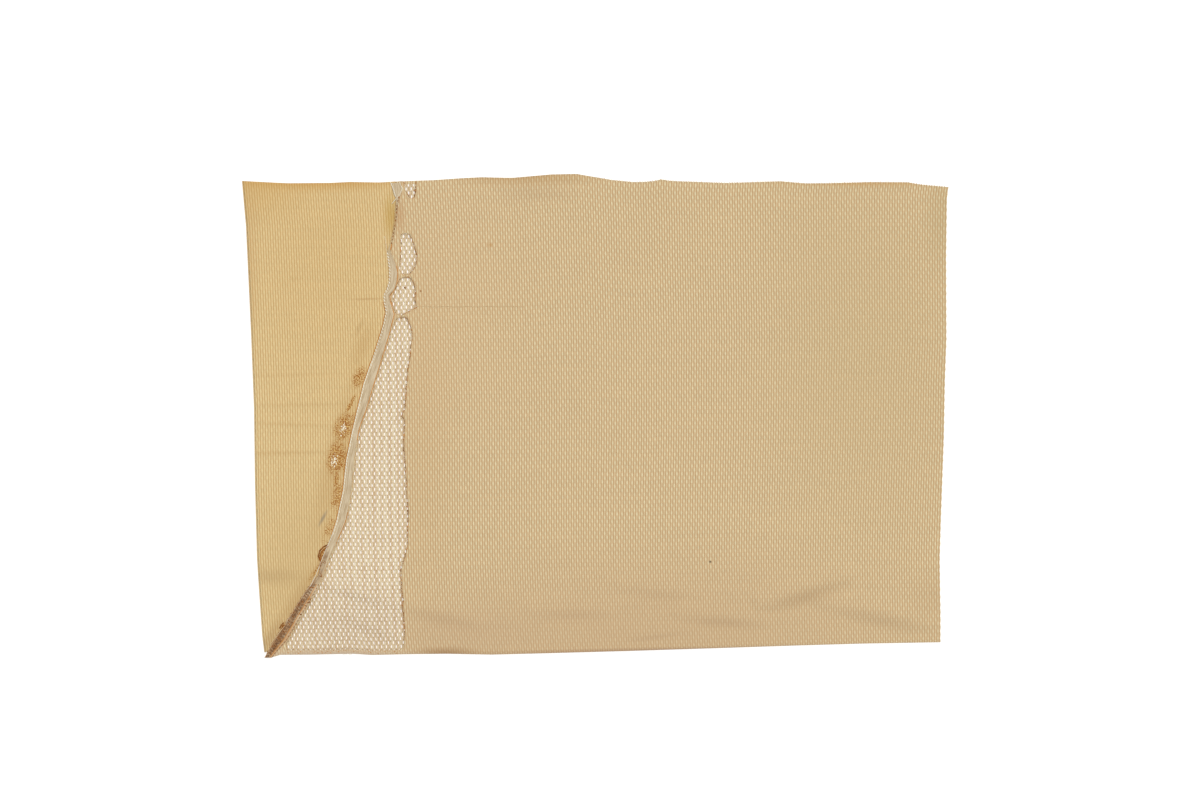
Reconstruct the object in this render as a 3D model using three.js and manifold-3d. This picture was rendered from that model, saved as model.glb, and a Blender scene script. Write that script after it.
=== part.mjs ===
// A worn length of raffia weave cloth lying flat: a tan width folded in two, a golden panel laid over its
// left side, and a sewn band that covers the join. The upper layer of the tan width is torn beside the band.
// Millimetres. X runs to the right, Y away from the near edge, Z up. The cloth lies on Z = 0, centred on X
// and Y.
import * as THREE from 'three';
import { mergeVertices } from 'three/addons/utils/BufferGeometryUtils.js';
import Module from 'manifold-3d';

const wasm = await Module();
wasm.setup();

// The cloth
const layerThickness = 1.2;
const layerGap = 0.6;
const sheetClearance = 0.4; // between sheets that lie on each other
const hemDepth = 4.5; // what is left of the upper layer along the fold where the rest has torn away
const foldSteps = 6;

// The golden panel's left edge
const turnRadius = 1.0;
const turnSteps = 3;
const edgeInset = 2.4; // how far the tan width's lower layer stays inside the turned edge
const edgeFoot = 0.3; // height of the turned edge above the surface

// The band
const bandThickness = 0.9;
const cordHeight = 0.5; // how far the corded side stands proud of the band
const cordShare = 0.22; // the share of the band's width that the cord takes
const cordCrest = 0.7; // how far across its share the cord stands highest
const bandMiddle = 0.6; // the share of its width where the band is divided once more
const joinGap = 0.35; // half the gap between the two cloths under the band
const joinLean = 3; // how far the join runs on to the left below the band's foot
const stubWidth = 1.3; // torn cloth that still shows along the band's right side
const cutAbove = 10; // how far a cut runs on above the cloth
const cutBeyond = 20; // and how far past its outline

// The outline, corner to corner, as it lies. The long sides list y for each x, the short sides x for each
// y.
const topEdge = [
  { x: -353, y: 235 },
  { x: -309, y: 232.7 },
  { x: -265, y: 233 },
  { x: -245, y: 234 },
  { x: -215, y: 233.5 },
  { x: -195, y: 234.8 },
  { x: -165, y: 235.7 },
  { x: -135, y: 237.7 },
  { x: -115, y: 238.7 },
  { x: -85, y: 238 },
  { x: -45, y: 241.5 },
  { x: -20, y: 242 },
  { x: -10, y: 240.3 },
  { x: 15, y: 236 },
  { x: 37, y: 233.8 },
  { x: 55, y: 234.2 },
  { x: 65, y: 236.5 },
  { x: 75, y: 234.9 },
  { x: 130, y: 232.9 },
  { x: 185, y: 234.6 },
  { x: 209, y: 232.5 },
  { x: 235, y: 232.7 },
  { x: 275, y: 233.8 },
  { x: 312, y: 233.6 },
  { x: 325, y: 231.3 },
  { x: 353, y: 228.8 },
];
const bottomEdge = [
  { x: -330, y: -242 },
  { x: -323, y: -240.4 },
  { x: -317, y: -238.6 },
  { x: -285, y: -238.4 },
  { x: -245, y: -237.5 },
  { x: -225, y: -238.8 },
  { x: -187, y: -237.9 },
  { x: -150, y: -237.5 },
  { x: -105, y: -238.4 },
  { x: -50, y: -237 },
  { x: 30, y: -234.8 },
  { x: 115, y: -232.1 },
  { x: 200, y: -229.3 },
  { x: 265, y: -227.4 },
  { x: 345, y: -226 },
];
const leftEdge = [
  { y: -242, x: -330 },
  { y: -219, x: -332.8 },
  { y: -174, x: -336 },
  { y: -142, x: -338 },
  { y: -69, x: -340 },
  { y: 8, x: -341 },
  { y: 84, x: -344 },
  { y: 156, x: -347.4 },
  { y: 190, x: -349 },
  { y: 235, x: -353 },
];
const rightEdge = [
  { y: -226, x: 345 },
  { y: -194, x: 345 },
  { y: -144, x: 344.3 },
  { y: -104, x: 345.5 },
  { y: -20, x: 348.5 },
  { y: 35, x: 349.5 },
  { y: 76, x: 351 },
  { y: 160, x: 350.7 },
  { y: 218, x: 351.5 },
  { y: 228.8, x: 353 },
];

// The band's two sides, from its loop at the top edge to the bottom left corner.
const bandSides = [
  { y: 233, left: -204, right: -194.5 },
  { y: 226, left: -202.5, right: -192.5 },
  { y: 221, left: -201, right: -194 },
  { y: 217, left: -199, right: -196 },
  { y: 208, left: -200, right: -197.5 },
  { y: 194, left: -201, right: -198 },
  { y: 184, left: -204.5, right: -200 },
  { y: 176, left: -209.5, right: -204 },
  { y: 167, left: -210, right: -204 },
  { y: 158, left: -208, right: -200 },
  { y: 146, left: -205.5, right: -197 },
  { y: 134, left: -206, right: -198 },
  { y: 127, left: -208, right: -200 },
  { y: 121, left: -211.3, right: -205.5 },
  { y: 115, left: -211, right: -205 },
  { y: 102, left: -209, right: -201 },
  { y: 85, left: -213.5, right: -205 },
  { y: 58, left: -222, right: -213 },
  { y: 33, left: -231, right: -221 },
  { y: 6, left: -237.5, right: -229 },
  { y: -14, left: -242.3, right: -236.5 },
  { y: -44, left: -248.5, right: -241 },
  { y: -74, left: -251.5, right: -243.5 },
  { y: -104, left: -258, right: -249 },
  { y: -134, left: -269, right: -262 },
  { y: -159, left: -277, right: -272 },
  { y: -174, left: -289, right: -278 },
  { y: -204, left: -308, right: -296 },
  { y: -224, left: -321, right: -309 },
  { y: -236, left: -327.5, right: -320 },
];

// The tears in the upper layer, each an outline of the gap.
const tearAtTop = [
  { x: -192.5, y: 240 },
  { x: -179, y: 240 },
  { x: -179.5, y: 231 },
  { x: -181, y: 220 },
  { x: -185, y: 217 },
  { x: -186.5, y: 221 },
  { x: -190, y: 228 },
];
const tearUpper = [
  { x: -193, y: 182.5 },
  { x: -187, y: 182.5 },
  { x: -182, y: 173 },
  { x: -180, y: 167 },
  { x: -178, y: 159 },
  { x: -180, y: 150 },
  { x: -188, y: 141 },
  { x: -192, y: 143 },
  { x: -195.5, y: 148 },
  { x: -194, y: 158 },
  { x: -194, y: 179 },
];
const tearMiddle = [
  { x: -192, y: 138 },
  { x: -184, y: 138 },
  { x: -181.5, y: 132 },
  { x: -180.5, y: 118 },
  { x: -178, y: 110 },
  { x: -188, y: 104 },
  { x: -194.5, y: 100.5 },
  { x: -199, y: 103 },
  { x: -201.5, y: 110 },
  { x: -203.5, y: 117 },
  { x: -199, y: 126 },
  { x: -196, y: 136 },
];
// The long tear's ragged right side, from its head down to the hem. Its left side follows the band.
const tearLongTop = { x: -195, y: 96 };
const tearLongRight = [
  { x: -189, y: 97 },
  { x: -186, y: 93 },
  { x: -183, y: 86 },
  { x: -182.5, y: 78 },
  { x: -183.5, y: 69 },
  { x: -186, y: 58 },
  { x: -187, y: 44 },
  { x: -188, y: 26 },
  { x: -190, y: 8 },
  { x: -192.5, y: 0 },
  { x: -190, y: -4 },
  { x: -191, y: -30 },
  { x: -189, y: -56 },
  { x: -188, y: -80 },
  { x: -187, y: -112 },
  { x: -187.5, y: -130 },
  { x: -191, y: -144 },
  { x: -194, y: -154 },
  { x: -193, y: -169 },
  { x: -192, y: -189 },
  { x: -190.5, y: -214 },
];

// Soft ridges of the upper layer: the line each one follows, how high it stands and how wide it is.
const ridges = [
  { x0: 170, y0: -186, x1: 255, y1: -164, height: 1.2, width: 9 },
  { x0: 85, y0: -199, x1: 170, y1: -201, height: 0.8, width: 8 },
  { x0: 250, y0: -189, x1: 344, y1: -209, height: 1.0, width: 9 },
  { x0: -190, y0: -189, x1: -155, y1: -204, height: 1.0, width: 8 },
  { x0: -65, y0: -184, x1: 25, y1: -196, height: 0.6, width: 8 },
  { x0: 65, y0: -112, x1: 245, y1: -116, height: 0.5, width: 10 },
  { x0: -340, y0: 10, x1: -265, y1: 12, height: 0.6, width: 8 },
  { x0: -340, y0: -36, x1: -265, y1: -38, height: 0.6, width: 8 },
];

// Where the sheets are divided: across the cloth as shares of its width, and up it at these heights.
const stationsAcross = 34;
const lowerStationsUp = 6;
const panelStations = 6;
const upperHeights = [
  -221, -214, -208, -202, -196, -190, -184, -177, -170, -162, -150, -134, -122, -116, -110, -98, -70,
  -44, -36, -28, -10, 4, 12, 20, 40, 70, 100, 130, 160, 190, 215,
];
const creaseHeights = [20, 12, 4, -28, -36, -50]; // more divisions of the golden panel, at its creases

const hemStations = [-192, -225, -245, -285]; // where the edge of the hem is divided

const clothColour = 0xd0b88f;
const goldColour = 0xd8bd89;
const bandColour = 0xccb592;
const clothRoughness = 0.9;
const bandRoughness = 0.85;
const mergeDistance = 1e-4;

const { lerp, clamp, smoothstep } = THREE.MathUtils;

// Reads a table as a broken line: the value of column `to` where column `from` is `at`.
function readTable(rows, from, to, at) {
  const rising = rows[0][from] < rows.at(-1)[from];
  const ordered = rising ? rows : rows.toReversed();
  const limited = clamp(at, ordered[0][from], ordered.at(-1)[from]);
  const next = Math.max(1, ordered.findIndex((row) => row[from] >= limited));
  const [a, b] = [ordered[next - 1], ordered[next]];
  return lerp(a[to], b[to], (limited - a[from]) / (b[from] - a[from]));
}

const topCorners = [topEdge[0].x, topEdge.at(-1).x];
const bottomCorners = [bottomEdge[0].x, bottomEdge.at(-1).x];

// A point of the outline's patch, from shares u across and v up: the four edges blended into one sheet.
function patchPoint(u, v) {
  const topX = lerp(topCorners[0], topCorners[1], u);
  const bottomX = lerp(bottomCorners[0], bottomCorners[1], u);
  const topY = readTable(topEdge, 'x', 'y', topX);
  const bottomY = readTable(bottomEdge, 'x', 'y', bottomX);
  const leftY = lerp(leftEdge[0].y, leftEdge.at(-1).y, v);
  const rightY = lerp(rightEdge[0].y, rightEdge.at(-1).y, v);
  const leftX = readTable(leftEdge, 'y', 'x', leftY);
  const rightX = readTable(rightEdge, 'y', 'x', rightY);
  return {
    x: lerp(leftX, rightX, u) + lerp(bottomX, topX, v) - straightX(u, v),
    y: lerp(bottomY, topY, v) + lerp(leftY, rightY, u) - straightY(u, v),
  };
}

function straightX(u, v) {
  return lerp(lerp(bottomCorners[0], bottomCorners[1], u), lerp(topCorners[0], topCorners[1], u), v);
}

function straightY(u, v) {
  const low = lerp(leftEdge[0].y, rightEdge[0].y, u);
  const high = lerp(leftEdge.at(-1).y, rightEdge.at(-1).y, u);
  return lerp(low, high, v);
}

// How far the soft ridges lift the upper layer at a point.
function ridgeLift(x, y) {
  let lift = 0;
  for (const { x0, y0, x1, y1, height, width } of ridges) {
    const length = Math.hypot(x1 - x0, y1 - y0);
    const along = ((x - x0) * (x1 - x0) + (y - y0) * (y1 - y0)) / length;
    const off = Math.abs((x - x0) * (y1 - y0) - (y - y0) * (x1 - x0)) / length;
    const past = Math.max(0, -along, along - length);
    lift = Math.max(lift, height * (1 - smoothstep(Math.hypot(off, past), 0, width)));
  }
  return lift;
}

// A closed sheet on a grid of places, each { x, y, z, nx, ny, nz, half }: the middle of the sheet, the
// direction of its outer side, and half its thickness there.
function sheetGeometry(grid) {
  const rows = grid.length;
  const columns = grid[0].length;
  const points = [];
  for (const side of [1, -1]) {
    for (const row of grid) {
      for (const { x, y, z, nx, ny, nz, half } of row) {
        points.push(x + side * half * nx, y + side * half * ny, z + side * half * nz);
      }
    }
  }
  const index = (side, i, j) => (side * rows + i) * columns + j;
  const faces = [];
  const quad = (a, b, c, d) => faces.push(a, b, c, a, c, d);
  for (let i = 0; i + 1 < rows; i += 1) {
    for (let j = 0; j + 1 < columns; j += 1) {
      quad(index(0, i, j), index(0, i, j + 1), index(0, i + 1, j + 1), index(0, i + 1, j));
      quad(index(1, i, j), index(1, i + 1, j), index(1, i + 1, j + 1), index(1, i, j + 1));
    }
  }
  for (let j = 0; j + 1 < columns; j += 1) {
    quad(index(0, 0, j), index(1, 0, j), index(1, 0, j + 1), index(0, 0, j + 1));
    const last = rows - 1;
    quad(index(0, last, j), index(0, last, j + 1), index(1, last, j + 1), index(1, last, j));
  }
  for (let i = 0; i + 1 < rows; i += 1) {
    quad(index(0, i, 0), index(0, i + 1, 0), index(1, i + 1, 0), index(1, i, 0));
    const last = columns - 1;
    quad(index(0, i, last), index(1, i, last), index(1, i + 1, last), index(0, i + 1, last));
  }
  const geometry = new THREE.BufferGeometry();
  geometry.setAttribute('position', new THREE.Float32BufferAttribute(points, 3));
  geometry.setIndex(faces);
  return geometry;
}

function toSolid(geometry) {
  const bare = geometry.clone();
  bare.deleteAttribute('normal');
  bare.deleteAttribute('uv');
  const merged = mergeVertices(bare, mergeDistance);
  const vertProperties = new Float32Array(merged.attributes.position.array);
  const triVerts = new Uint32Array(merged.index.array);
  return new wasm.Manifold(new wasm.Mesh({ numProp: 3, vertProperties, triVerts }));
}

function toGeometry(solid) {
  const { numProp, vertProperties, triVerts } = solid.getMesh();
  const points = new Float32Array((vertProperties.length / numProp) * 3);
  for (let i = 0; i < points.length / 3; i += 1) {
    points.set(vertProperties.subarray(i * numProp, i * numProp + 3), i * 3);
  }
  const geometry = new THREE.BufferGeometry();
  geometry.setAttribute('position', new THREE.BufferAttribute(points, 3));
  geometry.setIndex(new THREE.BufferAttribute(new Uint32Array(triVerts), 1));
  geometry.computeVertexNormals();
  return geometry;
}

// A prism with an outline of { x, y } points, from z = low to z = high.
function prism(outline, low, high) {
  const shape = new THREE.Shape(outline.map(({ x, y }) => new THREE.Vector2(x, y)));
  const geometry = new THREE.ExtrudeGeometry(shape, { depth: high - low, bevelEnabled: false });
  geometry.translate(0, 0, low);
  return toSolid(geometry);
}

const upperMiddle = 1.5 * layerThickness + layerGap;
const upperTop = 2 * layerThickness + layerGap;
const foldMiddle = layerThickness + layerGap / 2;
const foldRadius = (layerThickness + layerGap) / 2;
const foldReach = foldRadius + layerThickness / 2;

// Where the two cloths meet under the band, at a height up the cloth.
function joinX(y) {
  return (readTable(bandSides, 'y', 'left', y) + readTable(bandSides, 'y', 'right', y)) / 2;
}

// The tan width: lower layer from the top edge to the fold, round the fold, and back to the top edge. Its
// stations run from right to left, which turns its outer side out.
function foldedWidth() {
  const half = layerThickness / 2;
  const grid = [];
  for (let i = 0; i <= stationsAcross; i += 1) {
    const u = 1 - i / stationsAcross;
    const top = patchPoint(u, 1).y;
    const bottom = patchPoint(u, 0).y;
    const foldLine = bottom + foldReach;
    const inset = edgeInset * (1 - u);
    const xAt = (y) => patchPoint(u, clamp((y - bottom) / (top - bottom), 0, 1)).x + inset;
    const row = [];
    for (let j = 0; j < lowerStationsUp; j += 1) {
      const y = lerp(top, foldLine, j / lowerStationsUp);
      row.push({ x: xAt(y), y, z: half, nx: 0, ny: 0, nz: -1, half });
    }
    for (let j = 0; j <= foldSteps; j += 1) {
      const [ny, nz] = [-Math.sin((Math.PI * j) / foldSteps), -Math.cos((Math.PI * j) / foldSteps)];
      const y = foldLine + foldRadius * ny;
      row.push({ x: xAt(y), y, z: foldMiddle + foldRadius * nz, nx: 0, ny, nz, half });
    }
    for (const height of [...upperHeights, top]) {
      const y = Math.min(height, top);
      const x = xAt(y);
      row.push({ x, y, z: upperMiddle + ridgeLift(x, y), nx: 0, ny: 0, nz: 1, half });
    }
    grid.push(row);
  }
  return grid;
}

// The gap of the long tear: down its ragged side to the hem, along the hem and up the band's side. The
// band's foot lies below the hem's edge.
function longTear() {
  const hemAt = (x) => readTable(bottomEdge, 'x', 'y', x) + hemDepth;
  const stub = bandSides
    .filter(({ y }) => y < tearLongTop.y && y > bandSides.at(-1).y)
    .toReversed()
    .map(({ y, right }) => ({ x: right + stubWidth, y }));
  const hem = hemStations.map((x) => ({ x, y: hemAt(x) }));
  const cornerY = hemAt(stub[0].x);
  const corner = { x: readTable(bandSides, 'y', 'right', cornerY) + stubWidth, y: cornerY };
  return [tearLongTop, ...tearLongRight, ...hem, corner, ...stub];
}

// All that lies left of the join under the band.
function leftOfJoin() {
  const join = bandSides.map(({ y }) => ({ x: joinX(y) + joinGap, y }));
  const [head, foot] = [join[0], join.at(-1)];
  const [farX, farY, nearY] = [leftEdge.at(-1).x - cutBeyond, head.y + cutBeyond, foot.y - cutBeyond];
  return [
    { x: head.x, y: farY },
    ...join,
    { x: foot.x - joinLean, y: nearY },
    { x: farX, y: nearY },
    { x: farX, y: farY },
  ];
}

function mainWidth() {
  let solid = toSolid(sheetGeometry(foldedWidth()));
  const cutFrom = foldMiddle;
  const cutTo = upperTop + cutAbove;
  for (const outline of [leftOfJoin(), tearAtTop, tearUpper, tearMiddle, longTear()]) {
    solid = solid.subtract(prism(outline, cutFrom, cutTo));
  }
  return toGeometry(solid);
}

// The golden panel: from the join under the band to the left edge, then turned down to the surface.
function leftPanel() {
  const grid = [];
  const sheetMiddle = layerThickness + sheetClearance + layerThickness / 2;
  const half = layerThickness / 2;
  const heights = [Infinity, ...bandSides.map(({ y }) => y), ...creaseHeights].sort((a, b) => b - a);
  for (const height of heights) {
    const v = clamp((height - leftEdge[0].y) / (leftEdge.at(-1).y - leftEdge[0].y), 0, 1);
    const edgeX = patchPoint(0, v).x + half;
    const row = [];
    const borderX = joinX(height) - joinGap;
    for (let j = 0; j <= panelStations; j += 1) {
      const x = lerp(borderX, edgeX + turnRadius, j / panelStations);
      const y = Math.min(height, readTable(topEdge, 'x', 'y', x));
      row.push({ x, y, z: sheetMiddle + ridgeLift(x, y), nx: 0, ny: 0, nz: 1, half });
    }
    const y = row.at(-1).y;
    const z = row.at(-1).z;
    for (let j = 1; j <= turnSteps; j += 1) {
      const turn = (Math.PI / 2) * (j / turnSteps);
      const [nx, nz] = [-Math.sin(turn), Math.cos(turn)];
      const x = edgeX + turnRadius * (1 + nx);
      row.push({ x, y, z: z - turnRadius * (1 - nz), nx, ny: 0, nz, half });
    }
    row.push({ x: edgeX, y, z: edgeFoot, nx: -1, ny: 0, nz: 0, half });
    grid.push(row);
  }
  return sheetGeometry(grid);
}

// The band: a ribbon over the join, its left side thicker where the cord runs.
function seamBand() {
  const base = upperTop + sheetClearance;
  const shares = [1, bandMiddle, cordShare, cordShare * cordCrest, 0];
  const grid = bandSides.map(({ y, left, right }) =>
    shares.map((share) => {
      const x = lerp(left, right, share);
      const thickness = bandThickness + (share < cordShare && share > 0 ? cordHeight : 0);
      const z = base + thickness / 2 + ridgeLift(x, y);
      return { x, y, z, nx: 0, ny: 0, nz: 1, half: thickness / 2 };
    }),
  );
  return sheetGeometry(grid);
}

function piece(name, geometry, color, roughness) {
  const material = new THREE.MeshStandardMaterial({ color, roughness, metalness: 0 });
  const mesh = new THREE.Mesh(geometry, material);
  mesh.name = name;
  return mesh;
}

const raffiaCloth = new THREE.Group();
raffiaCloth.add(piece('main_width', mainWidth(), clothColour, clothRoughness));
raffiaCloth.add(piece('left_panel', leftPanel(), goldColour, clothRoughness));
raffiaCloth.add(piece('seam_band', seamBand(), bandColour, bandRoughness));

export default raffiaCloth;
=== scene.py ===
# Worn raffia weave cloth, lying flat in two layers, seen from straight above
import math
import random

import bmesh
import bpy
import numpy as np
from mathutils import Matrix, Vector, noise


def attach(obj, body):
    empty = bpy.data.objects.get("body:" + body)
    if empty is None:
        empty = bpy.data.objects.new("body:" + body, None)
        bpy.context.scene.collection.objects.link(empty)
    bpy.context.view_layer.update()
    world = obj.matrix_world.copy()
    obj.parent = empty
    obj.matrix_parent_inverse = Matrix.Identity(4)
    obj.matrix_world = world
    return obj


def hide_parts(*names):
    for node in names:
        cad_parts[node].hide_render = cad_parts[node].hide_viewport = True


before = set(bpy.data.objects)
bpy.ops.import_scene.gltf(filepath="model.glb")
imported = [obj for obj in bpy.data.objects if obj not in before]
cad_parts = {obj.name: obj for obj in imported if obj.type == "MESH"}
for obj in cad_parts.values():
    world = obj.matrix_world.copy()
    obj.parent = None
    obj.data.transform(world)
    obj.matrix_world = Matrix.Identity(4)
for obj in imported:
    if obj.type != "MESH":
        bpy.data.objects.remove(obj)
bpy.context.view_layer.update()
mm = 0.001
print("frame loaded:", ", ".join(sorted(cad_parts)))

# Settings of the cloth, in millimetres unless a note says otherwise

clothSizes = {
    "layerThickness": 1.2,
    "layerGap": 0.6,
    "panelClearance": 0.4,  # the golden panel above the lower layer
    "hemDepth": 4.5,  # what is left of the torn upper layer along the fold
    "edgeInset": 2.4,  # the lower layer inside the golden panel's turned edge
    "turnRadius": 1.0,
    "edgeFoot": 0.3,
    "stubWidth": 1.3,  # torn cloth along the band's right side
    "stubClear": 1.8,  # stub widths beside the band that are left unscorched
    "stubTop": 97,  # how far up the stub goes
    "joinGap": 0.35,
    "joinLean": 3,  # how far the join runs on sideways past the lower edge
    "cutBeyond": (380, 260),  # a cut reaches this far, outside the cloth
    "cornerRoom": 2,  # the long tear's side ends this far above the hem
    "tearGrowth": 0.8,  # the edge yarns close a hole by about as much
}

# The outline, corner to corner: y for each x on the long sides, x for each y on the short ones
outlineTop = [
    (-353, 235), (-309, 232.7), (-265, 233), (-245, 234), (-215, 233.5), (-195, 234.8), (-165, 235.7),
    (-135, 237.7), (-115, 238.7), (-85, 238), (-45, 241.5), (-20, 242), (-10, 240.3), (15, 236),
    (37, 233.8), (55, 234.2), (65, 236.5), (75, 234.9), (130, 232.9), (185, 234.6), (209, 232.5),
    (235, 232.7), (275, 233.8), (312, 233.6), (325, 231.3), (353, 228.8),
]
outlineBottom = [
    (-330, -242), (-323, -240.4), (-317, -238.6), (-285, -238.4), (-245, -237.5), (-225, -238.8),
    (-187, -237.9), (-150, -237.5), (-105, -238.4), (-50, -237), (30, -234.8), (115, -232.1),
    (200, -229.3), (265, -227.4), (345, -226),
]
outlineLeft = [
    (-242, -330), (-219, -332.8), (-174, -336), (-142, -338), (-69, -340), (8, -341), (84, -344),
    (156, -347.4), (190, -349), (235, -353),
]
outlineRight = [
    (-226, 345), (-194, 345), (-144, 344.3), (-104, 345.5), (-20, 348.5), (35, 349.5), (76, 351),
    (160, 350.7), (218, 351.5), (228.8, 353),
]

# The weave: one lattice of staggered upright openings in every layer
weaveSizes = {
    "columns": 276,  # half repeats across the cloth
    "rows": 120,  # rows of openings up the cloth
    "columnPitch": 2.55,  # one half repeat, in the plain sheet's pattern
    "rowPitch": 3.95,
    "yarnWidth": 2.08,
    "yarnHeight": 0.6,
    "weftWidth": 0.82,
    "weftHeight": 0.5,
    "sway": 0.34,  # how far an upright yarn swings aside at each opening
    "rise": 0.18,  # how far the yarns pass over and under each other
    "crest": 0.09,  # relief of the covered cloth: its upright yarns
    "dip": 0.02,  # its closed cells
    "pit": 0.2,  # its openings
    "coveredSway": 0.16,
}

# The band's sides down the cloth: y, left x, right x
bandSides = [
    (233, -204, -194.5), (226, -202.5, -192.5), (221, -201, -194), (217, -198.8, -196.6),
    (208, -199.6, -197.9), (194, -201, -199.3), (184, -202.3, -200.6), (176, -204, -202.3),
    (169, -206.2, -203.9), (165, -207.4, -204.7), (161, -207.2, -203.1), (156, -206.4, -200.9),
    (150, -205.6, -198.8), (144, -205.3, -197.3), (134, -206, -198), (127, -208, -200),
    (121, -211.3, -205.5), (115, -211, -205), (102, -209, -201), (85, -213.5, -205), (58, -222, -213),
    (33, -231, -221), (6, -237.5, -229), (-14, -242.3, -236.5), (-44, -248.5, -241),
    (-74, -251.5, -243.5), (-104, -258, -249), (-134, -269, -262), (-159, -277, -272),
    (-174, -289, -278), (-204, -308, -296), (-224, -321, -307.6), (-236, -327.5, -318.6),
]

# The tears of the upper layer
tearAtTop = [
    (-192.5, 240), (-179, 240), (-179.5, 231), (-181, 220), (-185, 217), (-186.5, 221), (-190, 228),
]
tearUpper = [
    (-193, 182.5), (-187, 182.5), (-182, 173), (-180, 167), (-178, 159), (-180, 150), (-184, 144),
    (-188, 141), (-192, 143), (-195.5, 148), (-194, 158), (-194, 179),
]
tearMiddle = [
    (-192, 138), (-184, 138), (-181.5, 132), (-180, 126), (-180.5, 116), (-178, 110), (-182, 107),
    (-188, 104), (-194.5, 100.5), (-199, 103), (-201.5, 110), (-203.5, 117), (-199, 126), (-196, 136),
]
tearLongHead = [(-199.5, 96.5), (-196, 98.6), (-190, 99), (-186.4, 96)]
tearLongSide = [
    (-183, 86), (-182.5, 78), (-183.5, 69), (-185, 58), (-186, 51), (-187.5, 40), (-188.5, 26), (-190, 8),
    (-192.5, 0), (-190, -4), (-191, -24), (-190.5, -40), (-189, -52), (-188, -70), (-187, -96),
    (-187, -128), (-191, -144), (-194, -154), (-193, -169), (-192, -189), (-191, -202), (-190, -220),
]
tearLongFoot = (-192, -225, -245, -285)  # where the hem's upper edge bends
raggedEdge = {"step": 1.3, "reach": 1.28, "coarse": 0.45, "fine": 1.3, "fineShare": 0.6}

# Soft ridges: x0, y0, x1, y1, height, width
ridges = [
    (166, -186, 252, -160, 2.0, 16), (85, -196, 165, -203, 1.1, 13), (226, -184, 340, -207, 1.5, 16),
    (-190, -187, -120, -203, 1.1, 14), (-65, -192, 15, -194, 0.8, 13), (25, -166, 100, -177, 0.8, 13),
    (35, -219, 95, -212, 0.6, 8), (65, -112, 245, -116, 0.4, 10), (-340, 10, -262, 12, 0.25, 8),
    (-340, -7, -265, -9, 0.2, 7), (-340, -36, -265, -38, 0.25, 8),
]
lowerRidges = [(-276, -167, -199, -188, 0.45, 9), (-250, -202, -199, -222, 0.4, 8)]
ridgeSides = (1.4, 0.9)  # shares of its width: a ridge rises slowly from above and falls steeply below


# Shape helpers


def readLine(rows, at, column=1):
    ordered = sorted(rows)
    return np.interp(at, [row[0] for row in ordered], [row[column] for row in ordered])


def mix(a, b, t):
    return a + (b - a) * t


def clothPoint(u, v):
    # the four edges blended into one patch, from shares across and up the cloth
    leftY = mix(outlineLeft[0][0], outlineLeft[-1][0], v)
    rightY = mix(outlineRight[0][0], outlineRight[-1][0], v)
    lowX = mix(outlineBottom[0][0], outlineBottom[-1][0], u)
    topX = mix(outlineTop[0][0], outlineTop[-1][0], u)
    x = mix(readLine(outlineLeft, leftY), readLine(outlineRight, rightY), u)
    return x, mix(readLine(outlineBottom, lowX), readLine(outlineTop, topX), v)


def joinX(y):
    return (readLine(bandSides, y, 1) + readLine(bandSides, y, 2)) / 2


def ridgeLift(x, y, rows=ridges):
    lift = np.zeros_like(x)
    for x0, y0, x1, y1, height, width in rows:
        length = math.hypot(x1 - x0, y1 - y0)
        along = ((x - x0) * (x1 - x0) + (y - y0) * (y1 - y0)) / length
        off = ((x - x0) * (y1 - y0) - (y - y0) * (x1 - x0)) / length
        past = np.maximum(0, np.maximum(-along, along - length))
        side = np.where(off < 0, *ridgeSides)
        t = np.clip(np.hypot(off / side, past) / width, 0, 1)
        lift = np.maximum(lift, height * (1 - t * t * (3 - 2 * t)))
    return lift


def inside(x, y, outline):
    # even and odd crossings of a closed outline
    odd = np.zeros(x.shape, bool)
    for (xa, ya), (xb, yb) in zip(outline, outline[1:] + outline[:1]):
        if ya == yb:
            continue
        crosses = (y < ya) != (y < yb)
        odd ^= crosses & (x < xa + (y - ya) * (xb - xa) / (yb - ya))
    return odd


def nearestOn(points, outline):
    a = np.array(outline)
    b = np.roll(a, -1, axis=0)
    d = b - a
    t = ((points[:, None] - a) * d).sum(2) / np.maximum((d * d).sum(1), 1e-9)
    spots = a + np.clip(t, 0, 1)[..., None] * d
    far = ((points[:, None] - spots) ** 2).sum(2)
    best = far.argmin(1)
    return spots[np.arange(len(points)), best], np.sqrt(far.min(1))


def besideBand(x, y):
    # the narrow strip of torn cloth that shows along the band's right side
    reach = clothSizes["stubClear"] * clothSizes["stubWidth"]
    return (x < readLine(bandSides, y, 2) + reach) & (y < clothSizes["stubTop"])


def ragged(outline, seed=1.0, closed=True):
    # the outline again in short steps, each pushed aside a little, as torn weave is
    s = raggedEdge
    rows = outline + outline[:1] if closed else outline
    made = []
    for (xa, ya), (xb, yb) in zip(rows, rows[1:]):
        length = math.hypot(xb - xa, yb - ya)
        count = max(1, round(length / s["step"]))
        for k in range(count):
            x, y = mix(xa, xb, k / count), mix(ya, yb, k / count)
            coarse, fine = (Vector((x * s[key], y * s[key], seed)) for key in ("coarse", "fine"))
            push = noise.noise(coarse) + s["fineShare"] * noise.noise(fine)
            push *= s["reach"] / length
            made.append((x + push * (yb - ya), y - push * (xb - xa)))
    return made


def hemLine(x):
    return float(readLine(outlineBottom, x)) + clothSizes["hemDepth"]


def longTear():
    stub = clothSizes["stubWidth"]
    low, high = hemLine(bandSides[-3][1]) + clothSizes["cornerRoom"], tearLongHead[0][1]
    side = [(right + stub, y) for y, left, right in reversed(bandSides) if low < y < high]
    foot = hemLine(side[0][0])
    corner = (float(readLine(bandSides, foot, 2)) + stub, foot)
    hem = [(x, hemLine(x)) for x in tearLongFoot]
    torn = ragged(tearLongHead + tearLongSide, closed=False)
    return torn + hem + [corner] + side


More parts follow.
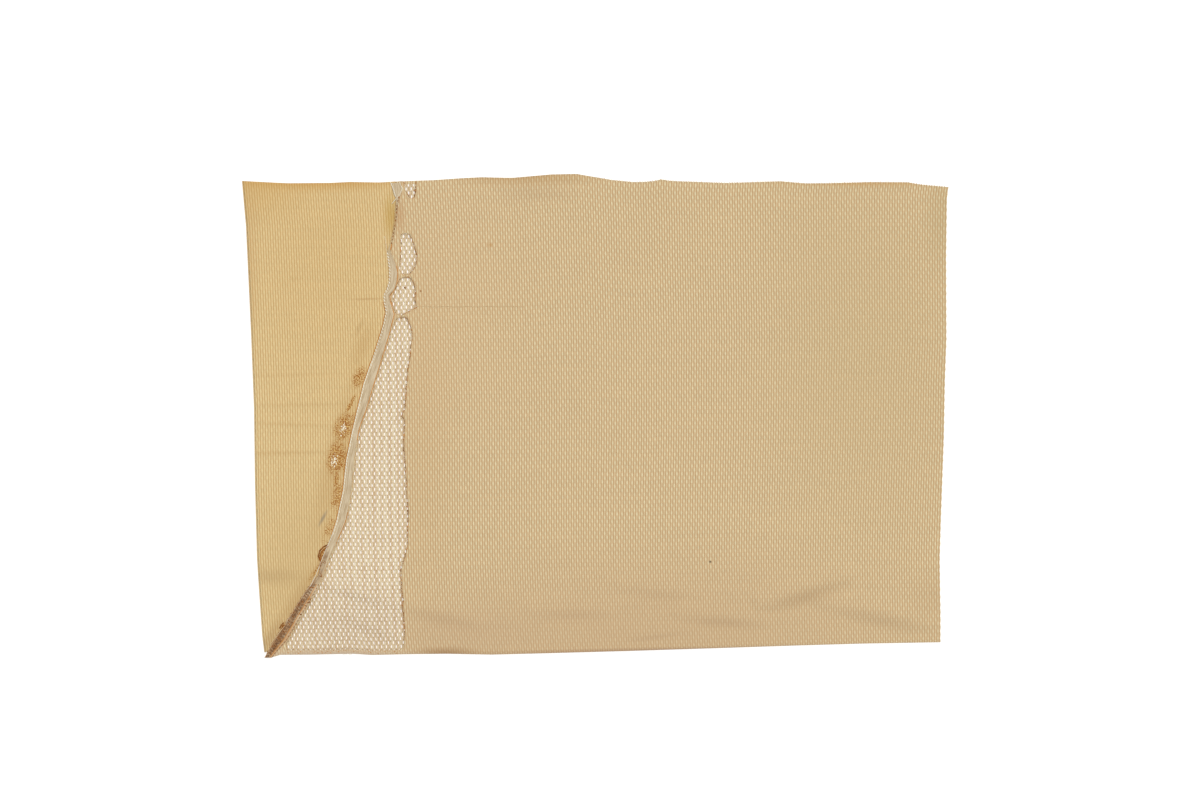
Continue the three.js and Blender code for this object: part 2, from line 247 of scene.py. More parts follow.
def leftOfJoin():
    gap = clothSizes["joinGap"]
    farX, farY = clothSizes["cutBeyond"]
    join = [(float(joinX(y)) + gap, y) for y, left, right in bandSides]
    end = (join[-1][0] - clothSizes["joinLean"], -farY)
    return [(join[0][0], farY)] + join + [end, (-farX, -farY), (-farX, farY)]


def growOutline(outline, by):
    before, after = outline[-1:] + outline[:-1], outline[1:] + outline[:1]
    area = sum(xa * yb - xb * ya for (xa, ya), (xb, yb) in zip(before, outline))
    reach = by if area > 0 else -by
    grown = []
    for (x, y), (xa, ya), (xb, yb) in zip(outline, before, after):
        length = math.hypot(xb - xa, yb - ya)
        grown.append((x + reach * (yb - ya) / length, y - reach * (xb - xa) / length))
    return grown


def tornHole(outline, seed):
    return ragged(growOutline(outline, clothSizes["tearGrowth"]), seed=seed)


tears = [tornHole(tearAtTop, 3), tornHole(tearUpper, 5), tornHole(tearMiddle, 7), longTear()]


def addObject(name, mesh):
    made = bpy.data.objects.new(name, mesh)
    bpy.context.scene.collection.objects.link(made)
    return made


def smooth(mesh):
    mesh.polygons.foreach_set("use_smooth", [True] * len(mesh.polygons))
    mesh.update()


# Node trees


class Wires:
    # short hands for wiring one node tree
    def __init__(self, tree):
        self.tree = tree

    def join(self, source, target):
        if isinstance(source, bpy.types.NodeSocket):
            self.tree.links.new(source, target)
        elif source is not None:
            target.default_value = source

    def node(self, kind, *sources, **settings):
        made = self.tree.nodes.new(kind)
        for key, value in settings.items():
            setattr(made, key, value)
        for k, source in enumerate(sources):
            self.join(source, made.inputs[k])
        return made

    def math(self, operation, a, b=None):
        return self.node("ShaderNodeMath", a, b, operation=operation).outputs[0]

    def times(self, a, b):
        return self.math("MULTIPLY", a, b)

    def plus(self, a, b):
        return self.math("ADD", a, b)

    def noise(self, where, scale, detail=2.0, rough=0.5):
        made = self.node("ShaderNodeTexNoise")
        self.join(where, made.inputs["Vector"])
        made.inputs["Scale"].default_value = scale
        made.inputs["Detail"].default_value = detail
        made.inputs["Roughness"].default_value = rough
        return made.outputs["Fac"]

    def ramp(self, value, low, high, toLow=0.0, toHigh=1.0, kind="SMOOTHSTEP"):
        made = self.node("ShaderNodeMapRange", interpolation_type=kind)
        for k, source in enumerate((value, low, high, toLow, toHigh)):
            self.join(source, made.inputs[k])
        return made.outputs[0]

    def blend(self, factor, a, b, kind="MIX"):
        made = self.node("ShaderNodeMix", data_type="RGBA", blend_type=kind)
        self.join(factor, made.inputs["Factor"])
        self.join(a, made.inputs["A"])
        self.join(b, made.inputs["B"])
        return made.outputs["Result"]

    def vector(self, operation, a, b=None):
        return self.node("ShaderNodeVectorMath", a, b, operation=operation).outputs["Vector"]


def newTree(kind, name, inputs, outputs):
    # each socket has a label and its first value, or the name of its kind
    tree = bpy.data.node_groups.new(name, kind)
    kinds = {int: "Int", float: "Float", tuple: "Vector"}
    for side, sockets in (("INPUT", inputs), ("OUTPUT", outputs)):
        for label, value in sockets.items():
            named = value if isinstance(value, str) else kinds[type(value)]
            made = tree.interface.new_socket(label, in_out=side, socket_type="NodeSocket" + named)
            if not isinstance(value, str):
                made.default_value = value
    ends = tree.nodes.new("NodeGroupInput").outputs, tree.nodes.new("NodeGroupOutput").inputs
    return tree, Wires(tree), *ends


# Shader groups that more than one material uses


def makeWeaveGroup():
    # openings of the staggered lattice, its light columns and its cells, from lattice coordinates
    tree, w, inputs, outputs = newTree(
        "ShaderNodeTree", "latticePattern", {"Lattice": "Vector", "Half Width": 0.27, "Half Height": 0.46},
        {"Opening": "Float", "Column": "Float", "Cell": "Float"},
    )
    parts = w.node("ShaderNodeSeparateXYZ", inputs["Lattice"]).outputs
    row = w.math("ROUND", parts[1])
    shifted = w.math("SUBTRACT", parts[0], w.math("FLOORED_MODULO", row, 2.0))
    pair = w.times(w.math("ROUND", w.times(shifted, 0.5)), 2.0)
    across = w.math("SUBTRACT", shifted, pair)
    up = w.math("ABSOLUTE", w.math("SUBTRACT", parts[1], row))
    a = w.math("POWER", w.math("DIVIDE", across, inputs["Half Width"]), 2.0)
    b = w.math("POWER", w.math("DIVIDE", up, inputs["Half Height"]), 3.0)
    w.join(w.ramp(w.plus(a, b), 1.5, 0.2), outputs["Opening"])
    column = w.math("ROUND", parts[0])
    off = w.math("ABSOLUTE", w.math("SUBTRACT", parts[0], column))
    w.join(w.ramp(off, 0.47, 0.2), outputs["Column"])
    cell = w.node("ShaderNodeCombineXYZ", column, row)
    w.join(w.node("ShaderNodeTexWhiteNoise", cell.outputs[0]).outputs["Value"], outputs["Cell"])
    return tree


def makeAgeGroup():
    # fibre streaks, small flecks and uneven rows, in object space
    tree, w, inputs, outputs = newTree(
        "ShaderNodeTree", "clothAge", {"Position": "Vector"},
        {"Streak": "Float", "Fleck": "Float", "Weft": "Float"},
    )
    place = inputs["Position"]
    w.join(w.noise(w.vector("MULTIPLY", place, (1100.0, 170.0, 400.0)), 1.0, 3.0), outputs["Streak"])
    w.join(w.noise(place, 420.0, 2.0), outputs["Fleck"])
    w.join(w.noise(w.vector("MULTIPLY", place, (13.0, 330.0, 1.0)), 1.0, 2.0), outputs["Weft"])
    return tree


def makeSpotGroup():
    # a soft spot, turned and stretched: 1 at its middle, 0 outside
    tree, w, inputs, outputs = newTree(
        "ShaderNodeTree", "ageSpot",
        {"Position": "Vector", "Middle": (0.0, 0.0, 0.0), "Turn": 0.0, "Length": 0.01, "Width": 0.005},
        {"Spot": "Float"},
    )
    moved = w.vector("SUBTRACT", inputs["Position"], inputs["Middle"])
    turned = w.node("ShaderNodeVectorRotate", moved, rotation_type="Z_AXIS")
    w.join(inputs["Turn"], turned.inputs["Angle"])
    parts = w.node("ShaderNodeSeparateXYZ", turned.outputs[0]).outputs
    a = w.math("POWER", w.math("DIVIDE", parts[0], inputs["Length"]), 2.0)
    b = w.math("POWER", w.math("DIVIDE", parts[1], inputs["Width"]), 2.0)
    w.join(w.ramp(w.math("SQRT", w.plus(a, b)), 1.0, 0.0), outputs["Spot"])
    return tree


weaveGroup, ageGroup, spotGroup = makeWeaveGroup(), makeAgeGroup(), makeSpotGroup()
print("shader groups made")


def linear(tint):
    # a colour as seen on screen, as the shader takes it
    return tuple(((c / 255 + 0.055) / 1.055) ** 2.4 for c in tint) + (1.0,)


def useGroup(w, tree, **values):
    made = w.node("ShaderNodeGroup")
    made.node_tree = tree
    for label, value in values.items():
        w.join(value, made.inputs[label.replace("_", " ")])
    return made.outputs


def newMaterial(name):
    material = bpy.data.materials.new(name)
    material.use_nodes = True
    w = Wires(material.node_tree)
    shader = material.node_tree.nodes["Principled BSDF"]
    shader.inputs["Specular IOR Level"].default_value = 0.2
    shader.inputs["Roughness"].default_value = 0.85
    return material, w, shader


def addBump(w, shader, height, strength, distance):
    bump = w.node("ShaderNodeBump")
    bump.inputs["Strength"].default_value = strength
    bump.inputs["Distance"].default_value = distance * mm
    w.join(height, bump.inputs["Height"])
    w.join(bump.outputs[0], shader.inputs["Normal"])


def spotMask(w, position, x, y, turn, length, width):
    return useGroup(
        w, spotGroup, Position=position, Middle=(x * mm, y * mm, 0), Turn=math.radians(-turn),
        Length=length * mm, Width=width * mm,
    )["Spot"]


def addTints(w, colour, position, tints):
    for x, y, turn, length, width, strength, tint in tints:
        spot = spotMask(w, position, x, y, turn, length, width)
        colour = w.blend(w.times(spot, strength), colour, linear(tint))
    return colour


def stainCover(w, position, stains):
    # the strongest of the stains, with a rim broken up by noise
    total = None
    for x, y, turn, length, width, strength in stains:
        spot = w.times(spotMask(w, position, x, y, turn, length, width), strength)
        total = spot if total is None else w.math("MAXIMUM", total, spot)
    grain = w.ramp(w.noise(position, 170.0, 4.0, 0.7), 0.32, 0.68, 0.25, 1.5, "LINEAR")
    return w.ramp(w.times(total, grain), 0.0, 0.75, kind="LINEAR")


def flatPosition(w):
    # object space without height, so that a stain goes through the cloth
    place = w.node("ShaderNodeTexCoord").outputs["Object"]
    return w.vector("MULTIPLY", place, (1.0, 1.0, 0.0))


# The weave's colours are partly its own pattern and partly painted light: openings painted lighter as light
# shining up through them, and the grooves of the thick upright yarns painted darker as they hold the light
# back
panelFinish = {
    "tan": {
        "groove": (190, 154, 110), "closed": (214, 189, 147), "opening": (225, 213, 174), "openShare": 0.9,
        "scorch": (186, 130, 72),
    },
    "golden": {
        "groove": (196, 160, 104), "closed": (225, 198, 148), "opening": (228, 210, 158), "openShare": 0.65,
        "scorch": (160, 106, 54),
    },
}
stainFinish = {
    "wash": (206, 162, 88),
    "speck": (154, 88, 18),
    "bright": (238, 202, 122),
    "mark": (122, 116, 108),
    "light": (250, 242, 216),  # what shines through the worn places
}
scorchFrom = (-229, -226)  # the hem below these heights isn't scorched

# Soft changes of tone, and painted shade along the creases: x, y, turn, half length, half width, strength,
# tint
tanToneAndShade = [
    (-150, 110, 90, 200, 130, 0.22, (218, 184, 138)),
    (265, 60, 90, 260, 150, 0.3, (200, 176, 130)),
    (-172, -20, 90, 260, 44, 0.2, (206, 168, 118)),
    (-70, 240, 0, 110, 14, 0.5, (186, 146, 96)),
    (-58, 222, 0, 60, 14, 0.25, (184, 156, 120)),
    (270, 233, 0, 120, 6, 0.5, (198, 156, 98)),
    (346, 196, 90, 70, 26, 0.25, (182, 160, 114)),
    (50, -226, 1, 420, 130, 0.5, (198, 166, 128)),
    (-130, -216, 0, 110, 40, 0.25, (192, 160, 126)),
    (340, -180, 0, 40, 34, 0.2, (186, 156, 116)),
    (-194.5, 200, 90, 26, 7, 0.6, (196, 156, 112)),
    (-150, -236, 0, 46, 8, 0.6, (160, 122, 84)),
    (60, -234, 1, 260, 4, 0.5, (164, 126, 100)),
    (-262, -238, 0, 110, 9, 0.9, (206, 184, 158)),
    (-105, 171, 0, 4, 3, 0.5, (186, 130, 60)),
    (115, -145.5, 0, 2.0, 1.8, 0.9, (84, 66, 50)),
    # painted shade: darker lines along the steep lower side of the ridges in the ridges table
    (212, -180, 18, 56, 13, 0.34, (176, 146, 108)),
    (128, -206, -4, 52, 9, 0.28, (178, 148, 114)),
    (290, -205, -12, 72, 13, 0.28, (180, 152, 116)),
    (-156, -202, -13, 50, 12, 0.22, (184, 152, 116)),
    (62, -178, -8, 48, 10, 0.18, (184, 154, 118)),
    (-24, -199, -1, 48, 10, 0.22, (184, 152, 118)),
    (60, -221, 8, 38, 4, 0.2, (178, 146, 114)),
]
goldenToneAndShade = [
    (-275, 170, 90, 260, 150, 0.18, (206, 162, 92)),
    (-352, 236, 0, 90, 60, 0.35, (204, 158, 82)),
    (-275, 242, 0, 140, 22, 0.9, (198, 144, 62)),
    (-290, -170, 90, 170, 80, 0.4, (200, 168, 114)),
    (-352, 120, 88, 170, 20, 0.4, (196, 156, 104)),
    (-204, 200, 90, 34, 12, 0.6, (190, 152, 72)),
    (-258, -40, 76, 120, 20, 0.35, (180, 138, 80)),
    (-232, 70, 66, 40, 14, 0.3, (186, 144, 84)),
    (-236, 88, 66, 15, 4, 0.3, (170, 130, 76)),
    (-296, -182, 56, 84, 13, 0.3, (170, 128, 76)),
    (-322, -160, 0, 44, 14, 0.3, (170, 140, 96)),
    (-325, -222, 60, 30, 10, 0.3, (150, 112, 70)),
    # painted shade: thin darker lines along the low creases across the panel
    (-300, 41, 1, 84, 3, 0.15, (182, 142, 88)),
    (-300, 11, 1, 84, 3.4, 0.16, (178, 138, 84)),
    (-310, -8, -2, 70, 3.4, 0.2, (182, 142, 88)),
    (-320, -37, 1, 84, 3.8, 0.24, (178, 138, 84)),
    (-228, 117, 2, 26, 1.8, 0.4, (180, 136, 84)),
    (-300, 137, 0, 8, 5, 0.12, (176, 138, 84)),
]
openToneAndShade = [
    # painted shade: darker lines along the creases of the lower layer, over its lowerRidges
    (-238, -181, -15, 56, 8, 0.24, (184, 160, 128)),
    (-224, -215, -21, 40, 8, 0.24, (184, 160, 128)),
    (-240, -210, 0, 110, 60, 0.42, (200, 176, 146)),
]

# Stains: x, y, turn, half length, half width, strength
goldenStains = [
    (-236, 39, 66, 18, 10, 0.7), (-244.6, 11.6, 64, 18, 3.2, 0.8), (-251.5, -11, 72, 22, 13, 0.95),
    (-243, -4, 75, 16, 5, 0.5), (-258, -42, 80, 26, 14, 0.95), (-249, -46, 80, 20, 5, 0.5),
    (-257, -80, 80, 26, 10, 0.6), (-258.5, -64, 84, 16, 4, 0.8), (-266, -112, 72, 26, 8, 0.4),
    (-272, -138, 66, 14, 5, 0.7), (-280, -156, 58, 20, 4, 0.4), (-312, -210, 50, 6, 3, 0.7),
]
# Places worn through, painted pale as light shining through them, with no hole in the sheet: x, y, turn,
# half length, half width
goldenWorn = [
    (-252, -12.6, 70, 10, 4.6), (-260.6, -44.6, 76, 11, 4.8),
]
greyMark = (-272, -102, 62, 13, 2.6)


def addStains(w, colour, position, stains, worn, mark):
    cover = stainCover(w, position, stains)
    colour = w.blend(w.times(cover, 0.5), colour, linear(stainFinish["wash"]))
    speck = w.plus(w.noise(position, 800.0, 1.0), w.times(cover, 0.12))
    speck = w.times(w.ramp(speck, 0.5, 0.68), w.ramp(cover, 0.05, 0.5))
    colour = w.blend(w.times(speck, 0.95), colour, linear(stainFinish["speck"]))
    bright = w.ramp(w.noise(position, 620.0, 1.0), 0.42, 0.3)
    bright = w.times(bright, w.ramp(cover, 0.2, 0.7))
    colour = w.blend(w.times(bright, 0.7), colour, linear(stainFinish["bright"]))
    marked = w.times(spotMask(w, position, *mark), 0.6)
    colour = w.blend(marked, colour, linear(stainFinish["mark"]))
    # painted light: each worn place is drawn pale, as light shining through it
    for place in worn:
        spot = spotMask(w, position, *place)
        hole = w.plus(w.times(spot, 0.25), w.noise(position, 640.0, 1.0))
        hole = w.times(w.ramp(hole, 0.68, 0.74), w.ramp(spot, 0.0, 0.15))
        colour = w.blend(hole, colour, linear(stainFinish["light"]))
    return colour


def scorchMask(w, position, fleck):
    # broken brown along the torn edges, but not on the hem
    torn = w.node("ShaderNodeAttribute", attribute_name="torn").outputs["Fac"]
    up = w.node("ShaderNodeSeparateXYZ", position).outputs[1]
    scorch = w.times(w.ramp(torn, 0.7, 1.0), w.ramp(fleck, 0.4, 0.6, 0.1, 0.8))
    return w.times(scorch, w.ramp(up, *[y * mm for y in scorchFrom]))


def makePanelMaterial(name, finish, tints, aged=None):
    material, w, shader = newMaterial(name)
    position = flatPosition(w)
    lattice = w.node("ShaderNodeUVMap", uv_map="lattice").outputs[0]
    pattern = useGroup(w, weaveGroup, Lattice=lattice)
    age = useGroup(w, ageGroup, Position=position)
    # painted light: lighter openings and darker grooves stand for light shining up through the weave;
    # partly the weave's own pattern
    colour = w.blend(pattern["Column"], linear(finish["groove"]), linear(finish["closed"]))
    opening = w.times(pattern["Opening"], finish["openShare"])
    colour = w.blend(opening, colour, linear(finish["opening"]))
    uneven = w.plus(w.times(pattern["Cell"], 0.3), age["Streak"])
    uneven = w.plus(uneven, w.times(age["Weft"], 0.6))
    colour = w.blend(1.0, colour, w.ramp(uneven, 0.4, 1.5, 0.93, 1.11, "LINEAR"), "MULTIPLY")
    colour = addTints(w, colour, position, tints)
    if aged:
        colour = addStains(w, colour, position, *aged)
    colour = w.blend(scorchMask(w, position, age["Fleck"]), colour, linear(finish["scorch"]))
    w.join(colour, shader.inputs["Base Color"])
    height = w.plus(age["Streak"], w.times(pattern["Column"], 0.5))
    addBump(w, shader, height, 0.3, 0.2)
    return material


def makeYarnMaterial(name, light, dark, flecks=0.3, tints=()):
    material, w, shader = newMaterial(name)
    age = useGroup(w, ageGroup, Position=w.node("ShaderNodeTexCoord").outputs["Object"])
    tone = w.node("ShaderNodeAttribute", attribute_name="tone").outputs["Fac"]
    uneven = w.plus(age["Streak"], w.times(tone, 0.4))
    colour = w.blend(w.ramp(uneven, 0.45, 1.0), linear(light), linear(dark))
    colour = w.blend(w.ramp(age["Fleck"], 0.56, 0.72, 0.0, flecks), colour, linear(dark))
    if tints:
        colour = addTints(w, colour, flatPosition(w), tints)
    w.join(colour, shader.inputs["Base Color"])
    addBump(w, shader, age["Streak"], 0.3, 0.1)
    return material


tanWeave = makePanelMaterial("tanWeave", panelFinish["tan"], tanToneAndShade)
goldenWeave = makePanelMaterial(
    "goldenWeave", panelFinish["golden"], goldenToneAndShade, (goldenStains, goldenWorn, greyMark)
)
openYarn = makeYarnMaterial("openYarn", (233, 216, 182), (214, 186, 147), 0.4, openToneAndShade)
tanYarn = makeYarnMaterial("tanYarn", (212, 186, 144), (176, 140, 94))
scorchedYarn = makeYarnMaterial("scorchedYarn", (214, 144, 62), (172, 100, 32))
darkYarn = makeYarnMaterial("darkYarn", (164, 98, 34), (118, 64, 18))
smokyYarn = makeYarnMaterial("smokyYarn", (158, 120, 86), (116, 80, 54))
paleYarn = makeYarnMaterial("paleYarn", (248, 243, 226), (226, 212, 182))
print("materials made")


# Geometry Nodes trees


def namedFloat(w, name):
    made = w.node("GeometryNodeInputNamedAttribute", data_type="FLOAT")
    made.inputs["Name"].default_value = name
    return made.outputs["Attribute"]


def finishTree(w, geometry, material, output):
    real = w.node("GeometryNodeRealizeInstances", geometry).outputs[0]
    slotNode = w.node("GeometryNodeSetMaterial", real)
    w.join(material, slotNode.inputs["Material"])
    w.join(slotNode.outputs[0], output)


def makeYarnTree():
    # lines made into flat yarns that sway sideways, pass over each other and taper at their ends
    sizes = {"Sway": 0.0, "Rise": 0.0, "Width": 0.001, "Height": 0.001, "Sides": 6}
    tree, w, inputs, outputs = newTree(
        "GeometryNodeTree", "yarnAlongLine", {"Geometry": "Geometry", **sizes, "Material": "Material"},
        {"Geometry": "Geometry"},
    )
    offset = w.node("ShaderNodeCombineXYZ")
    w.join(w.times(namedFloat(w, "sway"), inputs["Sway"]), offset.inputs["X"])
    w.join(w.times(namedFloat(w, "rise"), inputs["Rise"]), offset.inputs["Z"])
    moved = w.node("GeometryNodeSetPosition")
    w.join(inputs["Geometry"], moved.inputs["Geometry"])
    w.join(offset.outputs[0], moved.inputs["Offset"])
    curve = w.node("GeometryNodeMeshToCurve", moved.outputs[0])
    level = w.node("GeometryNodeSetCurveNormal", curve.outputs[0])
    level.mode = "Z_UP"
    ring = w.node("GeometryNodeCurvePrimitiveCircle")
    w.join(inputs["Sides"], ring.inputs["Resolution"])
    ring.inputs["Radius"].default_value = 0.5
    flat = w.node("GeometryNodeTransform", ring.outputs[0])
    scale = w.node("ShaderNodeCombineXYZ", inputs["Width"], inputs["Height"], 1.0)
    w.join(scale.outputs[0], flat.inputs["Scale"])
    tube = w.node("GeometryNodeCurveToMesh", level.outputs[0], flat.outputs[0])
    w.join(namedFloat(w, "thick"), tube.inputs["Scale"])
    tube.inputs["Fill Caps"].default_value = True
    finishTree(w, tube.outputs[0], inputs["Material"], outputs["Geometry"])
    return tree


def makeCordTree():
    # two plies wound round a line
    sizes = {"Ply": 0.0004, "Core": 0.0003, "Pitch": 0.004, "Step": 0.0005, "Sides": 6}
    materials = {"Material": "Material", "Second Material": "Material"}
    tree, w, inputs, outputs = newTree(
        "GeometryNodeTree", "twistedCord", {"Geometry": "Geometry", **sizes, **materials},
        {"Geometry": "Geometry"},
    )
    curve = w.node("GeometryNodeMeshToCurve", inputs["Geometry"])
    fine = w.node("GeometryNodeResampleCurve", curve.outputs[0], mode="LENGTH")
    w.join(inputs["Step"], fine.inputs["Length"])
    along = w.node("GeometryNodeSplineParameter").outputs["Length"]
    tangent = w.node("GeometryNodeInputTangent").outputs[0]
    normal = w.node("GeometryNodeInputNormal").outputs["Normal"]
    side = w.vector("CROSS_PRODUCT", normal, tangent)
    ring = w.node("GeometryNodeCurvePrimitiveCircle")
    w.join(inputs["Sides"], ring.inputs["Resolution"])
    w.join(inputs["Ply"], ring.inputs["Radius"])
    both = w.node("GeometryNodeJoinGeometry")
    turn = w.times(w.math("DIVIDE", along, inputs["Pitch"]), math.tau)
    for phase, material in ((0.0, "Material"), (math.pi, "Second Material")):
        angle = w.plus(turn, phase)
        parts = []
        for operation, axis in (("COSINE", normal), ("SINE", side)):
            reach = w.times(w.math(operation, angle), inputs["Core"])
            scaled = w.node("ShaderNodeVectorMath", axis, operation="SCALE")
            w.join(reach, scaled.inputs["Scale"])
            parts.append(scaled.outputs[0])
        moved = w.node("GeometryNodeSetPosition", fine.outputs[0])
        w.join(w.vector("ADD", parts[0], parts[1]), moved.inputs["Offset"])
        tube = w.node("GeometryNodeCurveToMesh", moved.outputs[0], ring.outputs[0])
        tube.inputs["Fill Caps"].default_value = True
        slotNode = w.node("GeometryNodeSetMaterial", tube.outputs[0])
        w.join(inputs[material], slotNode.inputs["Material"])
        w.join(slotNode.outputs[0], both.inputs[0])
    w.join(w.node("GeometryNodeRealizeInstances", both.outputs[0]).outputs[0], outputs["Geometry"])
    return tree


def runTree(source, tree, **values):
    modifier = source.modifiers.new("make", "NODES")
    modifier.node_group = tree
    for item in tree.interface.items_tree:
        label = item.name.replace(" ", "")
        if item.in_out == "INPUT" and label in values:
            modifier[item.identifier] = values[label]
    evaluated = source.evaluated_get(bpy.context.evaluated_depsgraph_get())
    mesh = bpy.data.meshes.new_from_object(evaluated)
    bpy.data.objects.remove(source)
    smooth(mesh)
    return mesh


yarnTree, cordTree = makeYarnTree(), makeCordTree()


def lineObject(name, lines):
    # rows of x, y, z, sway, rise and thickness as one mesh of loose edges, with a tone for each line
    points, edges, tones = [], [], []
    values = {"sway": [], "rise": [], "thick": []}
    for count, line in enumerate(lines):
        start = len(points)
        points += [(row[0] * mm, row[1] * mm, row[2] * mm) for row in line]
        for k, label in enumerate(values):
            values[label] += [row[3 + k] for row in line]
        tones += [(count * 0.618) % 1.0] * len(line)
        edges += [(k, k + 1) for k in range(start, len(points) - 1)]
    mesh = bpy.data.meshes.new(name)
    mesh.from_pydata(points, edges, [])
    for label, row in list(values.items()) + [("tone", tones)]:
        mesh.attributes.new(label, "FLOAT", "POINT").data.foreach_set("value", row)
    return addObject(name, mesh)


def plainLine(points, z=None, thick=1.0):
    return [(p[0], p[1], p[2] if z is None else z, 0.0, 0.0, thick) for p in points]


def yarns(name, lines, width, height, material, sides=6, sway=0.0, rise=0.0):
    return runTree(
        lineObject(name, lines), yarnTree, Sway=sway * mm, Rise=rise * mm, Width=width * mm,
        Height=height * mm, Sides=sides, Material=material,
    )


def cord(name, lines, ply, core, pitch, material, second, step=0.4):
    return runTree(
        lineObject(name, lines), cordTree, Ply=ply * mm, Core=core * mm, Pitch=pitch * mm,
        Step=step * mm, Sides=6, Material=material, SecondMaterial=second,
    )


def finishMesh(name, bm, shaded=True):
    mesh = bpy.data.meshes.new(name)
    bm.to_mesh(mesh)
    bm.free()
    if shaded:
        smooth(mesh)
    return mesh


def joinMeshes(name, meshes):
    bm = bmesh.new()
    materials = []
    for mesh in meshes:
        before = len(bm.faces)
        bm.from_mesh(mesh)
        bm.faces.ensure_lookup_table()
        for face in bm.faces[before:]:
            face.material_index += len(materials)
        materials += list(mesh.materials)
    joined = finishMesh(name, bm, shaded=False)
    for material in materials:
        joined.materials.append(material)
    return joined


def addPiece(name, sheet, material, strands=()):
    sheet.materials.append(material)
    piece = addObject(name, joinMeshes(name, [sheet] + list(strands)))
    triangles = sum(len(p.vertices) - 2 for p in piece.data.polygons)
    print(name, "made,", triangles, "triangles")
    return piece


# Woven panels: a grid on the lattice, cut along its tears, with a rim and a plain underside


def weaveRelief(column, row):
    # upright yarns on the half columns, openings and closed cells by turns on the whole ones
    yarn = np.abs(column - np.floor(column) - 0.5) < 0.25
    openShare = 0.5 + 0.5 * np.cos(math.pi * (column + row))
    low = weaveSizes["dip"] + (weaveSizes["pit"] - weaveSizes["dip"]) * openShare
    side = 1 - 2 * np.mod(np.floor(column), 2)
    sway = np.where(yarn, weaveSizes["coveredSway"] * side * np.cos(math.pi * row), 0)
    return sway, np.where(yarn, weaveSizes["crest"], -low)


def closeSheet(bm, underZ, mainLayer):
    # the rim of the sheet proper, then the ends of its turned edge, then the underside
    rimEdges = [e for e in bm.edges if e.is_boundary and all(v[mainLayer] for v in e.verts)]
    made = bmesh.ops.extrude_edge_only(bm, edges=rimEdges)
    for v in [g for g in made["geom"] if isinstance(g, bmesh.types.BMVert)]:
        v.co.z = underZ
        v[mainLayer] = 0
    bmesh.ops.remove_doubles(bm, verts=bm.verts, dist=1e-6)
    ends = [e for e in bm.edges if e.is_boundary and any(abs(v.co.z - underZ) > 2e-6 for v in e.verts)]
    bmesh.ops.holes_fill(bm, edges=ends, sides=0)
    under = [e for e in bm.edges if e.is_boundary]
    bmesh.ops.triangle_fill(bm, use_beauty=True, edges=under, normal=(0, 0, -1))
    bmesh.ops.recalc_face_normals(bm, faces=bm.faces)


def wovenSheet(name, columns, rows, place, removed, underZ, tornDrop=0.5, tornReach=1.6, tornLeft=0.35):
    # place gives x, y, z in millimetres and whether a point is of the sheet proper
    column, row = np.meshgrid(columns, rows, indexing="ij")
    x, y, z, proper = place(column, row)
    sway, lift = weaveRelief(column, row)
    x = x + np.where(proper, sway, 0)
    gone = np.zeros(x.shape, bool)
    for outline in removed:
        gone |= inside(x, y, outline)
    kept = ~(gone[:-1, :-1] & gone[1:, :-1] & gone[:-1, 1:] & gone[1:, 1:])
    used = np.zeros(x.shape, bool)
    for a in (slice(None, -1), slice(1, None)):
        for b in (slice(None, -1), slice(1, None)):
            used[a, b] |= kept
    snap = gone & used
    spots = np.stack([x[snap], y[snap]], axis=1)
    best, moved = np.full(len(spots), 1e9), spots.copy()
    for outline in removed:
        near, far = nearestOn(spots, outline)
        closer = far < best
        moved[closer], best[closer] = near[closer], far[closer]
    x[snap], y[snap] = moved[:, 0], moved[:, 1]
    edge = np.zeros(x.shape)
    close = used & proper
    for outline in removed:
        near, far = nearestOn(np.stack([x[close], y[close]], axis=1), outline)
        share = np.where(near[:, 0] > np.mean(outline, axis=0)[0], 1, tornLeft)
        edge[close] = np.maximum(edge[close], share * np.clip(1 - far / tornReach, 0, 1))
    edge = np.where(besideBand(x, y), 0, edge)
    z = z + np.where(proper, lift * (1 - edge) - tornDrop * edge, 0)
    return sheetMesh(name, (x, y, z), (column, row), proper, edge, kept, used, underZ)


def sheetMesh(name, where, lattice, proper, edge, kept, used, underZ):
    bm = bmesh.new()
    uvLayer = bm.loops.layers.uv.new("lattice")
    mainLayer = bm.verts.layers.int.new("proper")
    tornLayer = bm.verts.layers.float.new("torn")
    verts = {}
    for spot in zip(*np.nonzero(used)):
        v = bm.verts.new([float(axis[spot]) * mm for axis in where])
        v[mainLayer] = int(proper[spot])
        v[tornLayer] = float(edge[spot])
        verts[spot] = v
    for i, j in zip(*np.nonzero(kept)):
        ring = [(i, j), (i + 1, j), (i + 1, j + 1), (i, j + 1)]
        face = bm.faces.new([verts[spot] for spot in ring])
        for loop, spot in zip(face.loops, ring):
            loop[uvLayer].uv = [axis[spot] for axis in lattice]
    bmesh.ops.remove_doubles(bm, verts=bm.verts, dist=0.02 * mm)
    bmesh.ops.dissolve_degenerate(bm, dist=0.01 * mm, edges=bm.edges)
    closeSheet(bm, underZ * mm, mainLayer)
    return finishMesh(name, bm)


columnCount, rowCount = weaveSizes["columns"], weaveSizes["rows"]
layer, gap = clothSizes["layerThickness"], clothSizes["layerGap"]
upperUnder = layer + gap
upperTop = 2 * layer + gap


# The tan width: its upper layer, folded under along the lower edge

